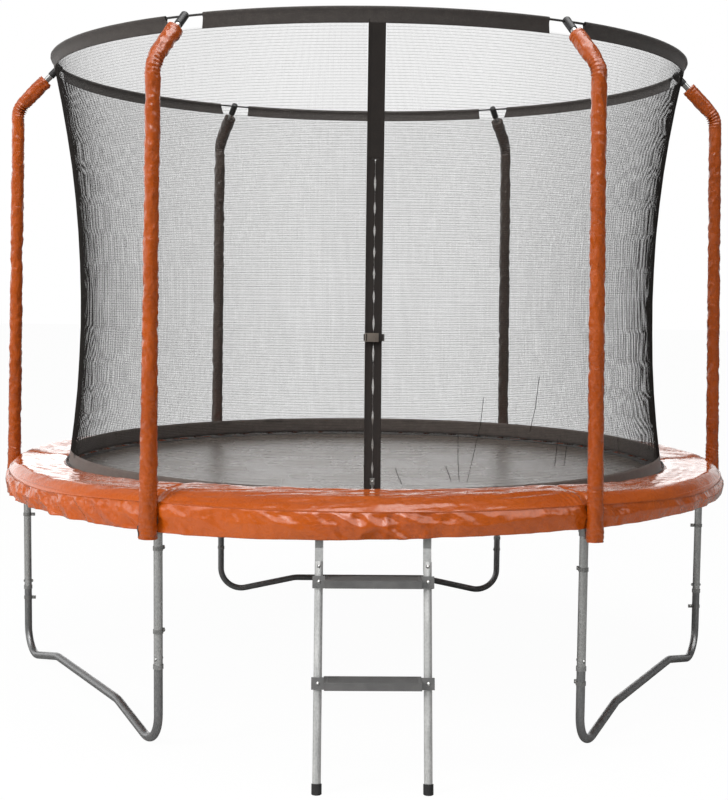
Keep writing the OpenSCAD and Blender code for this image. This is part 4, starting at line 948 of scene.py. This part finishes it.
# Half of a pole cap and 55 mm of bare rod, as an angle
band_clear = (0.0155 + 0.055) / ring_reach
band_sides, band_columns = [], 96
for k in range(6):
    turn = np.linspace(math.radians(60 * k) + band_clear, math.radians(60 * k + 60) - band_clear,
                       band_columns)
    drop = band_fold[None, :, 1] + 0 * turn[:, None]
    lean_in = net_reach(ring_height + drop) - net_reach(ring_height)
    # The ends are cut aslant, so the pocket is shorter than the foot of the band
    part = (turn[:, None] - turn[0]) / (turn[-1] - turn[0])
    slant_cut = np.clip((drop + 0.046) / 0.054, 0, 1) * 0.012 / ring_reach
    swing = turn[:, None] + slant_cut * (1 - 2 * part)
    wave = 0.0009 * ripple(np.stack([turn[:, None] * 1.35 + 0 * drop, 0 * drop, drop], -1), 14,
                           70 + k)
    reach = ring_reach + band_fold[None, :, 0] + lean_in + wave
    band_sides.append(np.stack([reach * np.cos(swing), reach * np.sin(swing),
                                ring_height + drop], -1))
upper_band = weld(make_piece("net_upper_band", *side_by_side(band_sides, False, True),
                             band_fabric), 60)
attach(upper_band, "frame")
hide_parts("net_top_band")

# ---- Lower net band
# A flat tape of faded black polyester, 73 mm wide, edges the net at the foot. It is sewn
# over the net's edge and stands on the rim of the mat.

lower_fabric = ribbed_webbing("woven_polyester_tape", "#4a423e", "#7c736c", 3.0, 0.7)
entry = math.radians(-90)
strip_half = 0.0303 / waist
net_foot, net_low = 0.8823, 0.9553
lower_columns, lower_rows = 420, 7
lower_turn = np.linspace(entry + strip_half, entry + 2 * math.pi - strip_half, lower_columns)
# The band is pulled down a little towards the entrance
lower_top = net_low - 0.0160 * np.clip(-np.sin(lower_turn), 0, 1)[:, None] ** 2
lower_height = net_foot + (lower_top - net_foot) * np.linspace(0, 1, lower_rows)
lower_wave = 0.0012 * ripple(np.stack([np.cos(lower_turn), np.sin(lower_turn), 0 * lower_turn],
                                      -1), 12, 80)[:, None]
lower_points = spin(np.stack([net_reach(lower_height), lower_height], -1), lower_turn)
lower_points *= (1 + lower_wave[..., None] * (1, 1, 0))
lower_band = make_piece("net_lower_band_tape", lower_points, grid_faces(
    lower_columns, lower_rows, False, False), lower_fabric)
tape = lower_band.modifiers.new("tape", "SOLIDIFY")
tape.thickness, tape.offset = 0.0014, 0
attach(lower_band, "frame")
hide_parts("net_lower_band")

# ---- Safety net
# Warp-knitted polyethylene mesh, black and fine enough to look through, stretched from
# the ring to the mat's edge so that it draws in at the waist. Its upright threads run
# from the lower band to the upper one.

net_root, net_high = 0.9370, 2.5539
net_start, net_sweep = entry + strip_half, 2 * math.pi - 2 * strip_half


def net_pull(points):
    """The net's unevenness: soft pulls all over, and a few folds low on the entrance's right."""
    turn = np.arctan2(points[:, 1], points[:, 0])
    reach = np.hypot(points[:, 0], points[:, 1])
    free = np.clip((points[:, 2] - net_low) / 0.06, 0, 1) * np.clip(
        (net_high - points[:, 2]) / 0.05, 0, 1) * np.clip(
        np.abs(turn_apart(turn, entry)) * 12 - 0.3, 0, 1)
    shift = 0.0016 * ripple(points, 5, 90) + 0.0007 * ripple(points * (1, 1, 2.5), 14, 91)
    aside = 0 * turn
    # Each fold's angle and height, its slope, its length in metres and its depth
    for at, height, slope, long, deep in ((-0.86, 1.16, 0.22, 0.20, 1.0),
                                          (-0.70, 1.07, -0.30, 0.13, 0.8),
                                          (-1.14, 1.22, 0.12, 0.24, 0.7),
                                          (-0.99, 1.05, 0.45, 0.11, 0.9),
                                          (-2.05, 1.12, -0.20, 0.16, 0.5)):
        off = turn_apart(turn, at) * 1.27 - slope * (points[:, 2] - height)
        near = np.exp(-((points[:, 2] - height) / long) ** 2) * deep
        aside -= near * 0.0052 * np.tanh(off / 0.006) * np.exp(-(off / 0.03) ** 2)
        shift += near * 0.0022 * np.exp(-(off / 0.012) ** 2)
    # No two threads lie quite evenly apart, and they wander as they rise. The net is drawn
    # together at the viewer's left and apart at the right
    wander = 0.0016 * ripple(np.stack([turn * 160, 0 * turn, points[:, 2] * 3], -1), 1, 92)
    left, right = turn_apart(turn, math.radians(190)), turn_apart(turn, math.radians(-10))
    bunched = (0.12 * right * np.exp(-(right / 0.45) ** 2)
               - 0.10 * left * np.exp(-(left / 0.45) ** 2))
    turn = turn + free * (aside + wander) / reach + bunched
    reach = reach + free * shift
    return np.stack([reach * np.cos(turn), reach * np.sin(turn), points[:, 2]], -1)


def pull(piece):
    """Moves a net piece's mesh by the net's unevenness."""
    place = np.empty(len(piece.data.vertices) * 3, np.float32)
    piece.data.vertices.foreach_get("co", place)
    moved = net_pull(place.reshape(-1, 3).astype(float))
    piece.data.vertices.foreach_set("co", moved.astype(np.float32).ravel())
    piece.data.update()


net_thread, thread_tree, thread_shader = blank_finish("knitted_polyethylene_thread")
fuzz = add(thread_tree, "ShaderNodeTexNoise", {
    "Vector": add(thread_tree, "ShaderNodeTexCoord").outputs["Object"], "Scale": 60, "Detail": 4})
thread_tint = add(thread_tree, "ShaderNodeMix", {0: fuzz.outputs["Fac"], 6: srgb("#0f0e0d"),
                                                 7: srgb("#2e2b29")}, data_type="RGBA")
thread_tree.links.new(thread_tint.outputs[2], thread_shader.inputs["Base Color"])
thread_shader.inputs["Roughness"].default_value = 0.6
thread_shader.inputs["Specular IOR Level"].default_value = 0.12

# The threads are knitted two millimetres apart, which is too fine to show, so they are
# drawn thicker and four apart. Each is deeper than it is wide, so the net closes up to the
# eye at a flat angle
thread_height = np.linspace(net_root, net_high, 13)[:, None]
thread_cut = np.array([(0.00030, 0.0), (-0.00025, 0.00018), (-0.00025, -0.00018)])
warp_line = np.stack([net_reach(thread_height) + thread_cut[None, :, 0],
                      0 * thread_height + thread_cut[None, :, 1],
                      thread_height + 0 * thread_cut[None, :, 0]], -1)
net_warp = make_piece("net_warp", warp_line, grid_faces(*warp_line.shape[:2], False, True),
                      net_thread)
warp_count = 2000
grow(net_warp, repeat_round("warp_round", net_thread), Count=warp_count,
     Start=net_start + net_sweep / warp_count / 2, Step=net_sweep / warp_count)
pull(net_warp)

# ---- Weft threads
# The net's level threads, of the same black polyethylene, are knitted in with the upright
# ones. They are arcs at even steps of height, each as wide as the net is there.

# Drawn ten millimetres apart, because two would be too fine to show
weft_height = np.arange(net_root + 0.004, net_high, 0.010)
weft_spots = np.stack([net_reach(weft_height), 0 * weft_height, weft_height], -1)
weft_mesh = bpy.data.meshes.new("net_weft")
weft_mesh.from_pydata(weft_spots.tolist(), [], [])
net_weft = bpy.data.objects.new("net_weft", weft_mesh)
bpy.context.scene.collection.objects.link(net_weft)
weft_tree = bpy.data.node_groups.new("weft_arcs", "GeometryNodeTree")
weft_tree.interface.new_socket("Mesh", in_out="INPUT", socket_type="NodeSocketGeometry")
for size in ("Start", "Sweep", "Thickness"):
    weft_tree.interface.new_socket(size, in_out="INPUT", socket_type="NodeSocketFloat")
weft_tree.interface.new_socket("Mesh", in_out="OUTPUT", socket_type="NodeSocketGeometry")
given = add(weft_tree, "NodeGroupInput")
spot = add(weft_tree, "GeometryNodeInputPosition")
parts = add(weft_tree, "ShaderNodeSeparateXYZ", {0: spot.outputs[0]})
wide = add(weft_tree, "ShaderNodeCombineXYZ", {"X": parts.outputs["X"], "Y": parts.outputs["X"],
                                               "Z": 1.0})
arc = add(weft_tree, "GeometryNodeCurveArc", {
    "Resolution": 170, "Radius": 1.0, "Start Angle": given.outputs["Start"],
    "Sweep Angle": given.outputs["Sweep"]})
arcs = add(weft_tree, "GeometryNodeInstanceOnPoints", {
    "Points": given.outputs["Mesh"], "Instance": arc.outputs["Curve"], "Scale": wide.outputs[0]})
# Each arc starts out round its own point, and is moved back to the net's axis
to_axis = add(weft_tree, "ShaderNodeCombineXYZ", {"Z": parts.outputs["Z"]})
centred = add(weft_tree, "GeometryNodeSetPosition", {
    "Geometry": arcs.outputs[0], "Position": to_axis.outputs[0]})
solid = add(weft_tree, "GeometryNodeCurveToMesh", {
    "Curve": add(weft_tree, "GeometryNodeRealizeInstances", {0: centred.outputs[0]}).outputs[0],
    "Profile Curve": add(weft_tree, "GeometryNodeCurvePrimitiveCircle", {
        "Resolution": 3, "Radius": given.outputs["Thickness"]}).outputs[0]})
done = add(weft_tree, "GeometryNodeSetMaterial", {"Geometry": solid.outputs[0],
                                                  "Material": net_thread})
add(weft_tree, "NodeGroupOutput", {0: done.outputs[0]})
grow(net_weft, weft_tree, Start=net_start, Sweep=net_sweep, Thickness=0.00037)
pull(net_weft)

# ---- Net film
# Between the drawn threads run more of the same knit. Together they are one thin sheet,
# see-through but for hairlines. These are drawn four millimetres apart, because two would
# be too fine to show.

net_film_mesh, film_tree, film_shader = blank_finish("knitted_polyethylene_net")
cloth_place = add(film_tree, "ShaderNodeUVMap", uv_map="cloth").outputs[0]
hairlines = []
for direction in ("X", "Y"):
    bands = add(film_tree, "ShaderNodeTexWave", {
        "Vector": cloth_place, "Scale": wave_repeat_mm / 4, "Distortion": 0.3},
        bands_direction=direction)
    hairlines.append(add(film_tree, "ShaderNodeMath", {0: bands.outputs["Fac"], 1: 6.0},
                         operation="POWER").outputs[0])
grid = add(film_tree, "ShaderNodeMath", {0: hairlines[0], 1: hairlines[1]}, operation="MAXIMUM")
cover = add(film_tree, "ShaderNodeMapRange", {0: grid.outputs[0], 3: 0.01, 4: 0.13})
film_tree.links.new(cover.outputs[0], film_shader.inputs["Alpha"])
film_tint = add(film_tree, "ShaderNodeMix", {0: grid.outputs[0], 6: srgb("#3a3734"),
                                             7: srgb("#171615")}, data_type="RGBA")
film_tree.links.new(film_tint.outputs[2], film_shader.inputs["Base Color"])
film_shader.inputs["Roughness"].default_value = 0.7
film_columns, film_rows = 361, 41
film_turn = np.linspace(net_start, net_start + net_sweep, film_columns)
film_height = np.linspace(net_root - 0.004, net_high + 0.004, film_rows)
film_points = spin(np.stack([net_reach(film_height), film_height], -1), film_turn)
net_film = make_piece("net_film", film_points, grid_faces(
    film_columns, film_rows, False, False), net_film_mesh)
pull(net_film)
film_map = net_film.data.uv_layers.new(name="cloth")
corners = np.empty(len(net_film.data.loops), np.int32)
net_film.data.loops.foreach_get("vertex_index", corners)
# The map is in metres, along the net's foot and up
film_uv = np.stack([np.repeat((film_turn - net_start) * 1.27, film_rows),
                    np.tile(film_height, film_columns)], -1)
film_map.data.foreach_set("uv", film_uv[corners].astype(np.float32).ravel())

# ---- Net folds
# Low on the entrance's right the net has been creased in its packing, and lies double along
# thin dark lines. Each is given as three points of angle and height.

net_folds = []
for number, fold_line in enumerate((((-76.0, 1.131), (-76.1, 1.045), (-76.0, 0.962)),
                                    ((-71.4, 1.262), (-72.1, 1.160), (-74.7, 0.958)),
                                    ((-57.1, 1.099), (-57.6, 1.045), (-58.1, 1.000)),
                                    ((-55.1, 1.074), (-55.6, 1.035), (-56.0, 1.000)),
                                    ((-86.4, 1.018), (-85.9, 0.985), (-85.3, 0.956)),
                                    ((-78.2, 1.018), (-77.7, 0.990), (-77.3, 0.962)),
                                    ((-60.6, 1.330), (-61.6, 1.215), (-62.9, 1.130)))):
    turn, height = np.array(fold_line).T
    reach = net_reach(height) + 0.0012
    net_folds.append(bar(f"net_fold_{number + 1}", np.stack([
        reach * np.cos(np.radians(turn)), reach * np.sin(np.radians(turn)), height], -1),
        0.0013, net_thread, 4))
for piece in (net_film, net_warp, net_weft, *net_folds):
    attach(piece, "frame")
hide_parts("net_panels")

# ---- Entrance strip and zip facings
# A 60 mm strip of woven polyester is sewn down the net. Its lower part is slit, and each
# side of the slit is a slack facing over the zip, so the pale coil shows only here and there.

strip_fabric = ribbed_webbing("woven_polyester_facing", "#100b08", "#271f1a", 2.5, 0.62)


def entry_place(height, out):
    """Reach along -Y and height of a point this far out of the net at a height."""
    lean_back = np.arcsin((height - waist_z) / net_bow)
    return (-waist - net_bow + (net_bow - out) * np.cos(lean_back),
            waist_z + (net_bow - out) * np.sin(lean_back))


def facing(name, low, high, profile, rows, sway=None):
    """A strip of fabric up the entrance, with a closed profile of (across, out) pairs."""
    height = np.linspace(low, high, rows)[:, None]
    profile = np.array(profile)
    sideways = profile[None, :, 0] + 0 * height
    if sway is not None:
        sideways = sway(sideways, height)
    wave = 0.0005 * ripple(np.stack([sideways * 2, 0 * sideways, height + 0 * sideways], -1),
                           16, 95)
    depth, rise = entry_place(height, profile[None, :, 1] + wave)
    points = np.stack([sideways, depth, rise + 0 * sideways], -1)
    piece = close_ends(weld(make_piece(name, points, grid_faces(
        rows, len(profile), False, True), strip_fabric), 50))
    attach(piece, "frame")
    return piece


hemmed = [(-0.0300, -0.0008), (-0.0302, 0.0004), (-0.0290, 0.0014), (-0.0262, 0.0014),
          (-0.0250, 0.0006), (-0.0120, 0.0009), (0.0120, 0.0009), (0.0250, 0.0006),
          (0.0262, 0.0014), (0.0290, 0.0014), (0.0302, 0.0004), (0.0300, -0.0008)]
upper_strip = facing("entry_upper_strip", 2.0965, 2.5660, hemmed, 60)
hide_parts("entry_strip")


def gape(sideways, height):
    """The facings' inner edges part round the coil, in stretches of about 90 mm."""
    parted = np.clip(0.10 + 0.9 * np.sin(height * 2 * math.pi / 0.092 + 2.2 * np.sin(height * 7)),
                     0, 1)
    inner = np.abs(sideways) < 0.006
    return np.where(inner, sideways + np.sign(sideways) * 0.0034 * parted, sideways)


for side, name in ((-1, "left"), (1, "right")):
    flap = [(side * x, out) for x, out in
            ((0.0300, -0.0008), (0.0302, 0.0004), (0.0290, 0.0013), (0.0262, 0.0013),
             (0.0248, 0.0004), (0.0130, 0.0007), (0.0060, 0.0014), (0.0004, 0.0018),
             (0.0002, 0.0010), (0.0050, 0.0002), (0.0130, -0.0009))]
    tape_side = facing(f"zip_facing_{name}", net_foot, 2.1000, flap, 240, gape)
    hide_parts(f"zip_tape_{name}")

# ---- Zip coil
# A coil of stiff nylon wire is sewn along each edge of the slit, and its turns hook into
# each other. Closed, it looks like a row of short level bars, 2.5 mm apart.

nylon_coil, coil_tree, coil_shader = blank_finish("nylon_zip_coil")
coil_shade = add(coil_tree, "ShaderNodeTexNoise", {
    "Vector": add(coil_tree, "ShaderNodeTexCoord").outputs["Object"], "Scale": 45, "Detail": 3})
coil_tint = add(coil_tree, "ShaderNodeMix", {0: coil_shade.outputs["Fac"], 6: srgb("#4d4a46"),
                                             7: srgb("#948f89")}, data_type="RGBA")
coil_tree.links.new(coil_tint.outputs[2], coil_shader.inputs["Base Color"])
coil_shader.inputs["Roughness"].default_value = 0.35
tooth = bar("zip_coil", [(net_bow - 0.0006, 0, x) for x in (-0.0034, -0.0012, 0.0012, 0.0034)],
            0.0009, nylon_coil, 5)
coil_low, coil_high = (math.asin((h - waist_z) / net_bow) for h in (0.982, 2.094))
tooth_count = 445
grow(tooth, repeat_round("teeth_along", nylon_coil), Count=tooth_count, Start=coil_low,
     Step=(coil_high - coil_low) / tooth_count)
# The coil was grown round +Z; it is tipped onto the net's upright arc
tooth.data.transform(Matrix.Translation((0, -waist - net_bow, waist_z))
                     @ Matrix(((0, 0, 1), (1, 0, 0), (0, 1, 0))).to_4x4())
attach(tooth, "frame")

# ---- Zip slider, pull and buckle
# The slider and its pull are die-cast zinc with a bright plating. The buckle's halves are
# moulded in grey-brown acetal, harder and glossier than the caps of the poles.

zinc_casting = galvanised_steel("plated_zinc_casting", "#9b9b99", "#d9d8d3", 0.16, 0.3)
dress(zinc_casting, "zip_slider", "zip_pull")
buckle_plastic = moulded_plastic("moulded_acetal_buckle", "#39332e", "#756c63", 0.36)
dress(buckle_plastic, "buckle_socket", "buckle_plug")

# ---- Buckle straps
# Two short straps of the facings' own polyester webbing, 25 mm wide, are sewn beside the
# zip. Each lies on the strip, steps up and runs into its half of the buckle.

buckle_height = 1.475
strap_lines = (
    [(-0.0345, 0.0019), (-0.0335, 0.0020), (-0.0325, 0.0030), (-0.0315, 0.0075),
     (-0.0300, 0.0128), (-0.0255, 0.0132), (-0.0140, 0.0132)],
    [(0.0390, 0.0019), (0.0380, 0.0020), (0.0370, 0.0035), (0.0360, 0.0085),
     (0.0340, 0.0169), (0.0220, 0.0169), (0.0060, 0.0169)])
rise = np.linspace(-0.0125, 0.0125, 9)
# Half of the strap's thickness: three soft ribs, and thin edges
half_thick = 0.0006 + 0.0001 * np.cos(np.linspace(0, 6 * math.pi, len(rise)))
half_thick[[0, -1]] = 0.0002
lean_back = math.asin((buckle_height - waist_z) / net_bow)
for name, strap_line in zip(("left", "right"), np.array(strap_lines)):
    both_sides = []
    for sign in (1, -1):
        out = strap_line[:, None, 1] + sign * half_thick[None]
        depth, height = entry_place(buckle_height, out)
        both_sides.append(np.stack([strap_line[:, None, 0] + 0 * out,
                                    depth - rise[None] * math.sin(lean_back),
                                    height + rise[None] * math.cos(lean_back)], -1))
    strap_points = np.concatenate([both_sides[0], both_sides[1][:, ::-1]], 1)
    strap = close_ends(weld(make_piece(f"buckle_strap_{name}", strap_points, grid_faces(
        len(strap_line), 2 * len(rise), False, True), strip_fabric), 50))
    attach(strap, "frame")
    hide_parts("buckle_webbing")

# ---- Ladder
# Two galvanised tubes lean against the frame and hang from flat hooks over its rail. The
# steps are moulded in dark grey polypropylene, clamped round the tubes with bolts.

ladder_tube = galvanised_steel("galvanised_steel_ladder", "#a9aaa9", "#d8d8d6", 0.30, 0.46, 0.6)
dress(ladder_tube, "ladder_rail_left", "ladder_rail_right")
dress(cast_fitting, "ladder_hooks")
step_moulding = moulded_plastic("moulded_polypropylene_grey", "#494949", "#6c6b6a", 0.44)
dress(step_moulding, "ladder_step_lower", "ladder_step_upper", "step_clamps")
dress(black_moulding, "ladder_feet")
